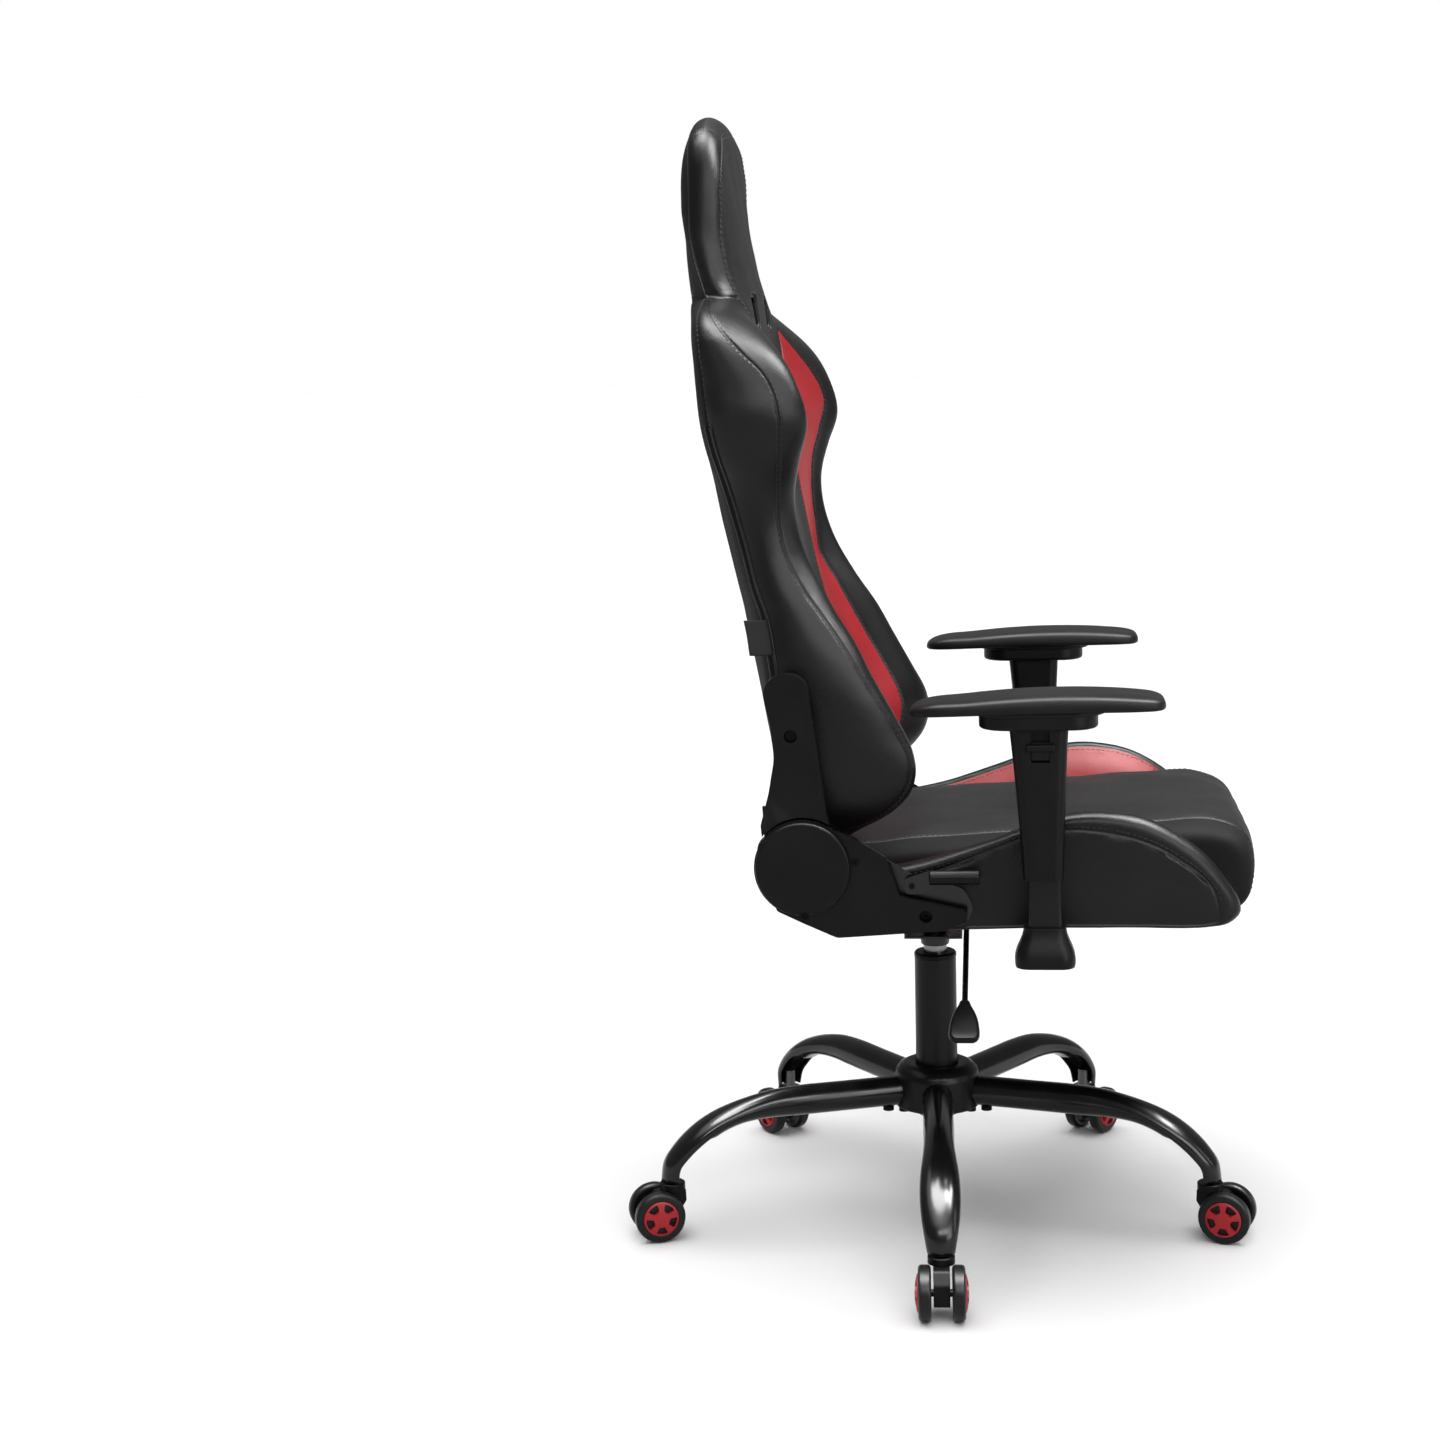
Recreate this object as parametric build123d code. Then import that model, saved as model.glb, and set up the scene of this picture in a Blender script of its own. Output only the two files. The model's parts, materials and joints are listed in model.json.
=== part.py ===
from build123d import *
import os
import math

os.makedirs("parts", exist_ok=True)

# ------------------------------------------------------------------
# Driving dimensions, millimetres.  +X front, +Y sitter's left, +Z up,
# origin on the floor under the lift column.
# ------------------------------------------------------------------
LEG_ANGLE0 = -87.77       # direction of the first leg, degrees
STEM_RADIUS = 331.5       # caster stem circle
LEG_TUBE = 35.5           # round leg tube at the hub
LEG_WALL = 2.2
LEG_TIP_Z = 68.0
LEG_Z = 149.8             # leg axis height at the hub

HUB_R = 51.5
HUB_Z0, HUB_Z1 = 129.5, 182.0

WHEEL_R = 30.0
WHEEL_W = 14.2
WHEEL_Y = 18.5            # wheel mid plane from the caster's middle
TRAIL = 20.0              # axle behind the stem
AXLE_R = 4.0
STEM_R = 5.5

TUBE_R = 25.0             # lift outer tube
TUBE_TOP = 313.0
CYL_R = 14.0              # lift inner cylinder
ROD_R = 5.0
RUN = 0.05                # running clearance, radial

SEAT_BOTTOM = 405.0
SEAT_FRONT = 358.0
SEAT_REAR = -150.0
PAD_HALF = 188.0          # seat pad half width
SEAT_HALF = 241.0         # seat half width over the bolsters

PIVOT_X, PIVOT_Z = -134.0, 478.0
SIDE_Y = 246.0            # inner face of the recliner covers
COVER_T = 16.0
CAP_R = 52.0

ARM_Y = 279.0             # arm post centre plane
ARM_X = 127.5

BACK_HALF = 128.0         # half width of the back's centre pad

# ------------------------------------------------------------------
# Helpers
# ------------------------------------------------------------------


def prism_y(points, y0, y1):
    """Outline in X, Z carried from y0 to y1."""
    face = Plane.XZ * make_face(Polyline(*points, close=True))
    return Pos(0, y1, 0) * extrude(face, amount=y1 - y0)


def rounded_y(points, radii, y0, y1):
    """Outline in X, Z with rounded corners, carried from y0 to y1."""
    wire = FilletPolyline(*points, radius=radii, close=True)
    face = Plane.XZ * make_face(wire)
    return Pos(0, y1, 0) * extrude(face, amount=y1 - y0)


def prism_x(points, x0, x1):
    """Outline in Y, Z carried from x0 to x1."""
    face = Plane.YZ * make_face(Polyline(*points, close=True))
    return Pos(x0, 0, 0) * extrude(face, amount=x1 - x0)


def rod_y(r, x, z, y0, y1):
    """Round bar along Y."""
    return Pos(x, (y0 + y1) / 2, z) * (Rot(90, 0, 0) * Cylinder(r, y1 - y0))


def rod_x(r, y, z, x0, x1):
    """Round bar along X."""
    return Pos((x0 + x1) / 2, y, z) * (Rot(0, 90, 0) * Cylinder(r, x1 - x0))


def rod_z(r, x, y, z0, z1):
    """Round bar along Z."""
    return Pos(x, y, (z0 + z1) / 2) * Cylinder(r, z1 - z0)


def block(x0, x1, y0, y1, z0, z1):
    return Pos((x0 + x1) / 2, (y0 + y1) / 2, (z0 + z1) / 2) * Box(x1 - x0, y1 - y0, z1 - z0)


def turned(points):
    """Outline in radius, Z turned about the Z axis."""
    face = Plane.XZ * make_face(Polyline(*points, close=True))
    return revolve(face, Axis.Z)


def bar(p, q, r):
    """Round bar from p to q."""
    a, b = Vector(*p), Vector(*q)
    d = b - a
    return extrude(Plane(origin=a, z_dir=d) * Circle(r), amount=d.length)


def flip(s):
    return mirror(s, about=Plane.XZ)


def solids_of(s):
    return list(s.solids())


def save(name, *shapes):
    out = []
    for s in shapes:
        out += solids_of(s)
    c = out[0] if len(out) == 1 else Compound(children=out)
    export_step(c, f"parts/{name}.step")


def soften(s, edges, r):
    try:
        return fillet(edges, r)
    except Exception:
        return s


# ------------------------------------------------------------------
# Five-leg base
# ------------------------------------------------------------------

def arm_angle(k):
    return LEG_ANGLE0 + 72.0 * k


# leg sections: radius out, height, slope of the axis, width across, thickness
LEG_SECTIONS = [
    (31.0, LEG_Z, 0.0, LEG_TUBE, LEG_TUBE),
    (180.0, LEG_Z, 0.0, LEG_TUBE, LEG_TUBE),
    (205.0, 149.0, 4.0, 34.5, 32.5),
    (230.0, 146.0, 9.0, 36.0, 28.5),
    (252.0, 141.3, 16.0, 39.5, 25.6),
    (271.0, 134.6, 23.5, 43.0, 24.8),
    (288.0, 125.6, 33.0, 45.0, 25.0),
    (304.0, 114.2, 44.0, 44.8, 24.6),
    (318.0, 100.8, 57.0, 42.0, 24.6),
    (328.8, 86.0, 72.0, 37.0, 25.0),
    (STEM_RADIUS, LEG_TIP_Z, 90.0, 31.0, 26.0),
]


def leg_shell(shrink, start, end):
    faces = []
    rows = LEG_SECTIONS
    for i, (r, z, slope, w, t) in enumerate(rows):
        a = math.radians(slope)
        d = Vector(math.cos(a), 0, -math.sin(a))
        o = Vector(r, 0, z)
        if i == 0:
            o = o - d * start
        if i == len(rows) - 1:
            o = o + d * end
        pl = Plane(origin=o, x_dir=(0, 1, 0), z_dir=d)
        faces.append(pl * Ellipse(w / 2 - shrink, t / 2 - shrink * 0.999))
    return loft(faces, ruled=True)


SLEEVE_R = 8.0
SLEEVE_TOP = 88.0
leg_outer = leg_shell(0.0, 0.0, 0.0)
leg_inner = leg_shell(LEG_WALL, 1.0, 1.0)
leg = leg_outer - leg_inner
leg = leg - rod_z(SLEEVE_R + 0.15, STEM_RADIUS, 0, 60, SLEEVE_TOP + 0.3)
BOLT_INNER, BOLT_OUTER = 42.0, 62.0
for r in (BOLT_INNER, BOLT_OUTER):
    leg = leg - rod_z(4.2, r, 0, 120, LEG_Z)
leg = max(leg.solids(), key=lambda s: s.volume)

hub = turned([(TUBE_R + RUN, HUB_Z0), (HUB_R - 1.5, HUB_Z0), (HUB_R, HUB_Z0 + 1.5),
              (HUB_R, HUB_Z1 - 16), (HUB_R - 2.2, HUB_Z1 - 9), (HUB_R - 7, HUB_Z1 - 3.5),
              (HUB_R - 14, HUB_Z1), (TUBE_R + 4, HUB_Z1), (TUBE_R + RUN, HUB_Z1 - 2)])
legs, leg_bolts, sleeves = [], [], []
for k in range(5):
    turn = Rot(0, 0, arm_angle(k))
    socket = rod_x(LEG_TUBE / 2 + 0.15, 0, LEG_Z, 30.5, 60)
    hub = hub - turn * socket
    hub = hub - turn * rod_z(4.3, BOLT_INNER, 0, 110, LEG_Z)
    legs.append(turn * leg)
    for r, head_top in ((BOLT_INNER, HUB_Z0), (BOLT_OUTER, LEG_Z - LEG_TUBE / 2 + 0.4)):
        b = rod_z(4.0, r, 0, head_top - 0.01, LEG_Z - 4) + rod_z(6.5, r, 0, head_top - 6.0, head_top)
        b = b - Pos(r, 0, head_top - 6.0) * extrude(RegularPolygon(3.2, 6), amount=3.0)
        if r == BOLT_OUTER:
            b = b - leg_outer
            b = rod_z(6.5, r, 0, head_top - 6.0, head_top - 1.2) + rod_z(4.0, r, 0, head_top - 1.3, LEG_Z - 4)
            b = b - Pos(r, 0, head_top - 6.0) * extrude(RegularPolygon(3.2, 6), amount=3.0)
        leg_bolts.append(turn * b)
    s = rod_z(SLEEVE_R, STEM_RADIUS, 0, LEG_TIP_Z - 0.5, SLEEVE_TOP) - rod_z(STEM_R + RUN, STEM_RADIUS, 0, 60, SLEEVE_TOP - 2)
    sleeves.append(turn * s)
hub = max(hub.solids(), key=lambda s: s.volume)
save("base_hub", hub)
save("base_legs", *legs)
save("leg_bolts", *leg_bolts)
save("caster_sockets", *sleeves)

# ------------------------------------------------------------------
# Casters: stem at the origin, wheels trail along +X
# ------------------------------------------------------------------
fork_web = rounded_y([(-14.0, 58.0), (-14.5, 44.0), (-4.0, 27.0), (14.0, 14.5), (27.0, 15.5), (34.0, 27.0),
                      (33.0, 42.0), (22.0, 55.0), (8.0, 58.0)],
                     [1.5, 4, 8, 6, 6, 6, 8, 8, 4], -9.0, 9.0)
fork = fork_web + rod_z(15.0, 0, 0, 57.0, 65.5)
fork = fork - rod_z(STEM_R + 0.02, 0, 0, 46.0, 70.0)
fork = fork - rod_y(AXLE_R + RUN, TRAIL, WHEEL_R, -20, 20)
fork = fork.solids()[0]
fork = soften(fork, fork.edges().filter_by(GeomType.CIRCLE).filter_by(lambda e: abs(e.radius - 15.0) < 0.01 and e.center().Z > 60), 1.5)
stem = rod_z(STEM_R, 0, 0, 46.2, SLEEVE_TOP - 2.6)

w = WHEEL_W / 2
wheel_outline = [(AXLE_R + 0.02, -w + 2.6), (12.0, -w + 2.6), (13.0, -w + 5.0), (22.5, -w + 5.0), (23.5, -w + 0.8),
                 (26.0, -w), (28.2, -w + 0.5), (29.5, -w + 1.8), (WHEEL_R, -w + 3.6),
                 (WHEEL_R, w - 4.0), (29.5, w - 2.0), (28.0, w - 0.6), (26.0, w), (21.6, w), (21.0, w - 0.4),
                 (21.0, w - 2.4), (AXLE_R + 0.02, w - 2.4)]
wheel = Rot(-90, 0, 0) * turned(wheel_outline)     # outer face towards +Y
cap_outline = [(0.0, w - 2.2), (20.8, w - 2.2), (20.8, w + 0.5), (20.2, w + 1.0), (16.0, w + 2.2), (10.0, w + 3.2), (4.0, w + 3.7), (0.0, w + 3.8)]
cap = turned(cap_outline)
for k in range(5):
    window = make_face(Polyline((9.4, -3.0), (11.2, -4.4), (16.0, -6.5), (17.4, -6.2), (18.3, -3.2), (18.5, 0), (18.3, 3.2), (17.4, 6.2), (16.0, 6.5), (11.2, 4.4), (9.4, 3.0), close=True))
    cap = cap - extrude(Rot(0, 0, 90 + 72 * k) * window, amount=20)
cap = cap - rod_z(AXLE_R + 0.2, 0, 0, w - 3, w - 1.0)
cap = Rot(-90, 0, 0) * cap
axle = rod_y(AXLE_R, 0, 0, -WHEEL_Y - w + 2.4, WHEEL_Y + w - 2.4)
for k in range(5):
    place = Rot(0, 0, arm_angle(k)) * Pos(STEM_RADIUS, 0, 0)
    n = k + 1
    save(f"caster_{n}_fork", place * fork)
    save(f"caster_{n}_stem", place * stem)
    hub_at = place * Pos(TRAIL, 0, WHEEL_R)
    left = hub_at * Pos(0, WHEEL_Y, 0)
    right = hub_at * Pos(0, -WHEEL_Y, 0) * Rot(0, 0, 180)
    save(f"caster_{n}_wheelset", left * wheel, right * wheel, hub_at * axle)
    save(f"caster_{n}_hub_caps", left * cap, right * cap)

# ------------------------------------------------------------------
# Gas lift
# ------------------------------------------------------------------
FLOOR_T = 6.0
tube = rod_z(TUBE_R, 0, 0, 118, TUBE_TOP) - rod_z(TUBE_R - 2.0, 0, 0, 118 + FLOOR_T, TUBE_TOP + 1)
tube = tube - rod_z(ROD_R + RUN, 0, 0, 100, 130)
save("gas_lift_tube", tube)
bush = rod_z(TUBE_R - 2.05, 0, 0, 200, TUBE_TOP) + turned([(0, TUBE_TOP), (TUBE_R + 0.4, TUBE_TOP), (TUBE_R + 0.4, TUBE_TOP + 3.5), (TUBE_R - 1.2, TUBE_TOP + 6.0), (0, TUBE_TOP + 6.0)])
bush = bush - rod_z(CYL_R + RUN, 0, 0, 190, 330)
save("lift_guide_bush", bush)
bearing = rod_z(15.0, 0, 0, 124.0, 131.8) - rod_z(ROD_R + 0.2, 0, 0, 120, 140)
bearing = bearing - (rod_z(16.0, 0, 0, 126.4, 129.4) - rod_z(12.5, 0, 0, 126, 130))
save("thrust_bearing", bearing)
rod = rod_z(ROD_R, 0, 0, 111.0, 362.0) + rod_z(9.5, 0, 0, 132.0, 136.0) + rod_z(11.0 - RUN, 0, 0, 352.0, 362.0)
rod = rod - (rod_z(7.0, 0, 0, 113.5, 115.6) - rod_z(4.0, 0, 0, 113, 116))
save("lift_rod", rod)
clip = rod_z(8.5, 0, 0, 113.6, 115.5) - rod_z(4.05, 0, 0, 110, 120) - block(-1.6, 1.6, -12, 0, 110, 120)
save("lift_clip", clip)
cyl = rod_z(CYL_R, 0, 0, 172.0, 372.0) - rod_z(11.0, 0, 0, 185.0, 366.0) - rod_z(ROD_R + RUN, 0, 0, 160, 190)
cyl = cyl + rod_z(4.0, 0, 0, 372.0, 376.5)
save("lift_cylinder", cyl)

# ------------------------------------------------------------------
# Seat mechanism and height lever
# ------------------------------------------------------------------
MECH_TOP = SEAT_BOTTOM - 0.3
mech = block(-95, 95, -80, 80, MECH_TOP - 4.5, MECH_TOP)
mech = mech + block(31, 34, -64, 64, 350, MECH_TOP) + block(-34, -31, -64, 64, 350, MECH_TOP)
mech = mech + block(-34, 34, -64, 64, 349, 352)
mech = mech + turned([(CYL_R + 0.02, 328.0), (16.6, 328.0), (17.2, 330.0), (19.0, 350.0), (CYL_R + 0.02, 350.0)])
mech = mech - rod_z(CYL_R + 0.02, 0, 0, 320, 360)
LEVER_Y, LEVER_Z, LEVER_X = -50.0, 389.0, 40.0
mech = mech - rod_x(3.5 + RUN, LEVER_Y, LEVER_Z, -60, 60)
mech_bolts = []
for sx in (-1, 1):
    for sy in (-1, 1):
        x, y = sx * 80.0, sy * 62.0
        mech = mech - rod_z(4.2, x, y, 390, 410)
        b = rod_z(4.0, x, y, MECH_TOP - 4.6, SEAT_BOTTOM + 6) + rod_z(7.0, x, y, MECH_TOP - 9.5, MECH_TOP - 4.5)
        b = b - Pos(x, y, MECH_TOP - 9.5) * extrude(RegularPolygon(3.4, 6), amount=3.0)
        mech_bolts.append(b)
save("mechanism_plate", mech)

lever = rod_x(3.5, LEVER_Y, LEVER_Z, -35.5, LEVER_X + 3.0)
lever = lever + block(-5, 5, LEVER_Y, 6.0, LEVER_Z - 2.0, LEVER_Z + 2.5)
PADDLE_Y0, PADDLE_Z0 = -258.0, 321.0
lever = lever + bar((LEVER_X, LEVER_Y, LEVER_Z), (LEVER_X, PADDLE_Y0, PADDLE_Z0), 3.4)
lever = lever.solids()[0]
save("height_lever_rod", lever)
# paddle droops outward from the end of the rod
pd = Vector(0, -62.0, -23.0)
p_face0 = Plane(origin=(LEVER_X, PADDLE_Y0 + 6, PADDLE_Z0 + 2.4), x_dir=(1, 0, 0), z_dir=pd)
p_faces = []
for f, wd, th in ((0.0, 12.0, 11.0), (0.18, 18.7, 11.5), (0.42, 28.0, 11.5), (0.64, 32.0, 11.0), (0.82, 33.4, 10.5), (0.94, 30.5, 9.5), (1.0, 23.0, 7.5)):
    pl = Plane(origin=p_face0.origin + pd * f, x_dir=(1, 0, 0), z_dir=pd)
    p_faces.append(pl * RectangleRounded(wd, th, th * 0.42))
paddle = loft(p_faces)
paddle = paddle - bar((LEVER_X, LEVER_Y, LEVER_Z), (LEVER_X, PADDLE_Y0 - 0.3, PADDLE_Z0 - 0.1), 3.45)
save("height_lever_paddle", paddle)

# ------------------------------------------------------------------
# Seat frame, pad and bolsters
# ------------------------------------------------------------------
frame_ring = block(-128, 318, -178, 178, SEAT_BOTTOM + 0.2, SEAT_BOTTOM + 25) - block(-103, 293, -153, 153, 380, 480)
# pressed channel, open below
frame_ring = frame_ring - (block(-126, 316, -176, 176, 300, SEAT_BOTTOM + 23) - block(-105, 295, -155, 155, 290, 480))
frame_ring = frame_ring + block(-100, -60, -156, 156, SEAT_BOTTOM + 0.2, SEAT_BOTTOM + 4) + block(60, 155, -156, 156, SEAT_BOTTOM + 0.2, SEAT_BOTTOM + 4)
for b in mech_bolts:
    frame_ring = frame_ring - Pos(b.center().X, b.center().Y, 408) * Cylinder(4.2, 20)
ARM_BOLTS = [(115.0, 150.0), (141.0, 150.0)]
for x, y in ARM_BOLTS:
    for s in (-1, 1):
        frame_ring = frame_ring - rod_z(4.2, x, s * y, 395, 420)
save("seat_frame", frame_ring)

pocket = block(-128.5, 318.5, -178.5, 178.5, 380, SEAT_BOTTOM + 25.4) - block(-102.5, 292.5, -152.5, 152.5, 300, 480)
pocket = pocket + block(-103.5, -56.5, -160, 160, 380, SEAT_BOTTOM + 7.4) + block(56.5, 158.5, -160, 160, 380, SEAT_BOTTOM + 7.4)
pad_side = [(SEAT_REAR, SEAT_BOTTOM), (300, SEAT_BOTTOM), (330, SEAT_BOTTOM + 6), (349, SEAT_BOTTOM + 28),
            (SEAT_FRONT, 455), (SEAT_FRONT - 1, 478), (350, 494), (334, 505), (310, 509), (250, 508), (150, 502), (50, 495),
            (-60, 486), (-120, 482), (SEAT_REAR + 6, 474), (SEAT_REAR, 462)]
seat_pad = prism_y(pad_side, -PAD_HALF, PAD_HALF) - pocket
for b in mech_bolts:
    seat_pad = seat_pad - Pos(b.center().X, b.center().Y, 405) * Cylinder(4.6, 28)
for x, y in ARM_BOLTS:
    for s in (-1, 1):
        seat_pad = seat_pad - rod_z(4.6, x, s * y, 395, 425)
FRAME_BOLTS = [(-1.0, 424.0), (-92.0, 424.0)]
for x, z in FRAME_BOLTS:
    seat_pad = seat_pad - rod_y(4.6, x, z, -PAD_HALF - 2, -176.0) - rod_y(4.6, x, z, 176.0, PAD_HALF + 2)
seat_pad = max(seat_pad.solids(), key=lambda q: q.volume)
save("seat_pad", seat_pad)

bolster_side = [(-128, SEAT_BOTTOM), (300, SEAT_BOTTOM), (325, SEAT_BOTTOM + 8), (337, SEAT_BOTTOM + 20), (337, 434), (325, 456), (303, 483), (269, 509), (235, 526),
                (199, 532.5), (167, 532.5), (140, 527), (100, 516), (80, 509.5), (36, 496), (0, 487.5), (-30, 480.5), (-80, 474), (-128, 466)]
bolster_plan = [(-PAD_HALF - 0.4, 390), (-PAD_HALF - 0.4, 497), (-PAD_HALF - 14, 524), (-PAD_HALF - 26, 540),
                (-SEAT_HALF + 14, 540), (-SEAT_HALF + 4, 522), (-SEAT_HALF, 500), (-SEAT_HALF, 390)]
bolster = prism_y(bolster_side, -SEAT_HALF, -PAD_HALF - 0.4) & prism_x(bolster_plan, -140, 340)

# ------------------------------------------------------------------
# Recliner: side plates, base covers, arms and pivot caps
# ------------------------------------------------------------------
plate_pts = [(-170, 436), (-134, 412), (-60, 409), (40, 409), (52, 430), (40, 452), (-20, 470), (-70, 500), (-108, 528), (-160, 528), (-188, 500)]
side_plate = rounded_y(plate_pts, [20, 20, 8, 14, 16, 16, 20, 10, 20, 20, 20], -SIDE_Y + 0.2, -SIDE_Y + 3.2)
base_pts = [(-168, 432), (-132, 415), (-98, 400), (20, 408), (44, 418), (44, 430), (-29, 446), (-44, 490), (-79, 512), (-100, 520)]
base_face = make_face(FilletPolyline(*base_pts, radius=[6, 10, 12, 10, 5, 5, 3, 3, 12, 6], close=True))
base_face = base_face + Pos(PIVOT_X, PIVOT_Z) * Circle(CAP_R + 2.0)
base_cover = Pos(0, -SIDE_Y - 7.4, 0) * extrude(Plane.XZ * base_face, amount=COVER_T - 7.4)
base_cover = base_cover.solids()[0]
base_cover = soften(base_cover, base_cover.faces().sort_by(Axis.Y)[0].outer_wire().edges(), 1.6)
foot = prism_y([(-52, 411), (18, 412), (36, 419.5), (36, 427.5), (-32, 440.5), (-49, 478)], -SIDE_Y - 8.4, -SIDE_Y - 0.1)
base_cover = base_cover + foot
cap_disc = rod_y(CAP_R, PIVOT_X, PIVOT_Z, -SIDE_Y - COVER_T - 8.0, -SIDE_Y - COVER_T - 0.05)
cap_disc = cap_disc.solids()[0]
cap_disc = soften(cap_disc, cap_disc.faces().sort_by(Axis.Y)[0].outer_wire().edges(), 3.0)
PIN_R = 9.0
cap_disc = cap_disc + rod_y(PIN_R, PIVOT_X, PIVOT_Z, -SIDE_Y - COVER_T - 1.0, -SIDE_Y + 3.0)
base_cover = base_cover - rod_y(PIN_R + 0.03, PIVOT_X, PIVOT_Z, -300, 0)
side_plate = side_plate - rod_y(PIN_R + 0.03, PIVOT_X, PIVOT_Z, -300, 0)

SCREWS = [(-77.0, 485.0), (-133.0, 424.5)]
screws = []
for x, z in SCREWS:
    base_cover = base_cover - rod_y(4.6, x, z, -300, -SIDE_Y - COVER_T + 3.0) - rod_y(2.1, x, z, -300, 0)
    side_plate = side_plate - rod_y(2.1, x, z, -300, 0)
    s = rod_y(4.3, x, z, -SIDE_Y - COVER_T + 0.2, -SIDE_Y - COVER_T + 2.9) + rod_y(1.9, x, z, -SIDE_Y - COVER_T + 2.8, -SIDE_Y + 3.0)
    s = s - Pos(x, -SIDE_Y - COVER_T + 0.2, z) * (Rot(-90, 0, 0) * extrude(RegularPolygon(1.9, 6), amount=1.6))
    cap_disc = cap_disc - rod_y(6.2, x, z, -300, -SIDE_Y - COVER_T + 1.0)
    screws.append(s)
base_cover = base_cover - rod_y(7.0, FRAME_BOLTS[0][0], FRAME_BOLTS[0][1], -300, 0)
for x, z in FRAME_BOLTS:
    side_plate = side_plate - rod_y(4.3, x, z, -300, 0)
    s = rod_y(6.2, x, z, -SIDE_Y - 6.0, -SIDE_Y + 0.1) + rod_y(4.0, x, z, -SIDE_Y, -178.2)
    s = s - Pos(x, -SIDE_Y - 6.0, z) * (Rot(-90, 0, 0) * extrude(RegularPolygon(3.0, 6), amount=3.5))
    screws.append(s)
    bolster = bolster - rod_y(4.6, x, z, -300, 0)
base_cover = max(base_cover.solids(), key=lambda s: s.volume)

save("seat_bolsters", bolster, flip(bolster))
save("seat_side_plates", side_plate, flip(side_plate))
save("recline_bases", base_cover, flip(base_cover))
save("pivot_caps", cap_disc, flip(cap_disc))

# upper arms turn with the back: a thin eye behind the base cover, a full-thickness blade above it
blade_pts = [(-178, 508), (-179.5, 526), (-170, 561), (-163, 599), (-166, 636), (-173.5, 668), (-170, 692), (-124, 692), (-124, 668), (-107.5, 540), (-100, 505)]
blade = rounded_y(blade_pts, [3, 8, 60, 60, 60, 6, 22.5, 22.5, 60, 10, 6], -SIDE_Y - COVER_T, -SIDE_Y - 0.05)
blade = blade - rod_y(CAP_R + 4.5, PIVOT_X, PIVOT_Z, -300, 0)
blade = max(blade.solids(), key=lambda s: s.volume)
blade = soften(blade, blade.faces().sort_by(Axis.Y)[0].outer_wire().edges(), 2.2)
eye = rod_y(CAP_R - 3.0, PIVOT_X, PIVOT_Z, -SIDE_Y - 7.0, -SIDE_Y - 0.05)
link = prism_y([(-176, 500), (-178, 545), (-112, 545), (-104, 505)], -SIDE_Y - 7.0, -SIDE_Y - 0.05)
recline_arm = blade + eye + link
recline_arm = recline_arm - rod_y(PIN_R + RUN, PIVOT_X, PIVOT_Z, -300, 0)
ARM_HOLE = (-144.5, 624.0)
recline_arm = recline_arm - rod_y(7.2, ARM_HOLE[0], ARM_HOLE[1], -300, -SIDE_Y - 5.0)
BACK_BOLTS = [ARM_HOLE]
for x, z in BACK_BOLTS:
    recline_arm = recline_arm - rod_y(4.1, x, z, -300, 0)
recline_arm = max(recline_arm.solids(), key=lambda s: s.volume)

# ------------------------------------------------------------------
# Recline lever: a flat strip from a pivot in the cover's notch, with a round grip
# ------------------------------------------------------------------
RL_X, RL_Z = -16.0, 456.0
strip = rounded_y([(-24, 447), (-8, 447), (22, 459), (22, 473), (2, 473), (-24, 464)], [6, 4, 3, 3, 4, 6], -SIDE_Y - 7.0, -SIDE_Y - 3.4)
strip = strip - rod_y(3.0 + RUN, RL_X, RL_Z, -300, 0)
strip = strip.solids()[0]
lever_pin = rod_y(3.0, RL_X, RL_Z, -SIDE_Y - 9.5, -SIDE_Y + 0.2)
grip = rod_x(8.0, -SIDE_Y - 9.0, 466.0, 3.0, 58.0)
grip = grip.solids()[0]
grip = soften(grip, grip.edges().filter_by(GeomType.CIRCLE), 2.0)
grip = grip - block(-30, 22.3, -SIDE_Y - 7.05, -SIDE_Y - 3.35, 440, 480)
save("recline_lever_strip", strip)
save("recline_lever_grip", max(grip.solids(), key=lambda s: s.volume))

# ------------------------------------------------------------------
# Arms: bracket and post, boot, sleeve with slider head, trigger, pad
# ------------------------------------------------------------------
post = block(ARM_X - 17.5, ARM_X + 17.5, -ARM_Y - 11, -ARM_Y + 11, 382, 545)
post = post.solids()[0]
post = soften(post, post.edges().filter_by(Axis.Z), 4.0)
post = post - block(ARM_X - 15.5, ARM_X + 15.5, -ARM_Y - 9, -ARM_Y + 9, 400, 580)
bracket = block(ARM_X - 20, ARM_X + 20, -ARM_Y - 11, -125.0, 390.0, 396.0)
bracket_bolts = []
for x, y in ARM_BOLTS:
    bracket = bracket - rod_z(4.2, x, -y, 380, 400)
post_arm = post + bracket + block(ARM_X - 20, ARM_X + 20, -165, -130, 396.0, SEAT_BOTTOM - 0.2)
for x, y in ARM_BOLTS:
    post_arm = post_arm - rod_z(4.2, x, -y, 380, 410)
    b = rod_z(4.0, x, -y, 389.9, SEAT_BOTTOM + 7) + rod_z(6.5, x, -y, 385.0, 390.0)
    b = b - Pos(x, -y, 385.0) * extrude(RegularPolygon(3.2, 6), amount=3.0)
    bracket_bolts.append(b)
boot_faces = []
for z, wx, wy, r in ((375.5, 63.0, 47.0, 15.0), (383.5, 65.0, 49.0, 16.0), (391.5, 62.0, 47.0, 15.0), (401.5, 54.0, 41.0, 13.0), (411.5, 47.0, 35.0, 11.0), (418.5, 45.0, 32.5, 10.0)):
    boot_faces.append(Pos(ARM_X, -ARM_Y, z) * RectangleRounded(wx, wy, r))
boot = loft(boot_faces)
boot = boot - block(ARM_X - 17.8, ARM_X + 17.8, -ARM_Y - 11.3, -ARM_Y + 11.3, 381.6, 430)
boot = boot - block(ARM_X - 20.4, ARM_X + 20.4, -ARM_Y - 11.4, -150, 389.6, 396.4)
boot = max(boot.solids(), key=lambda s: s.volume)
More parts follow.
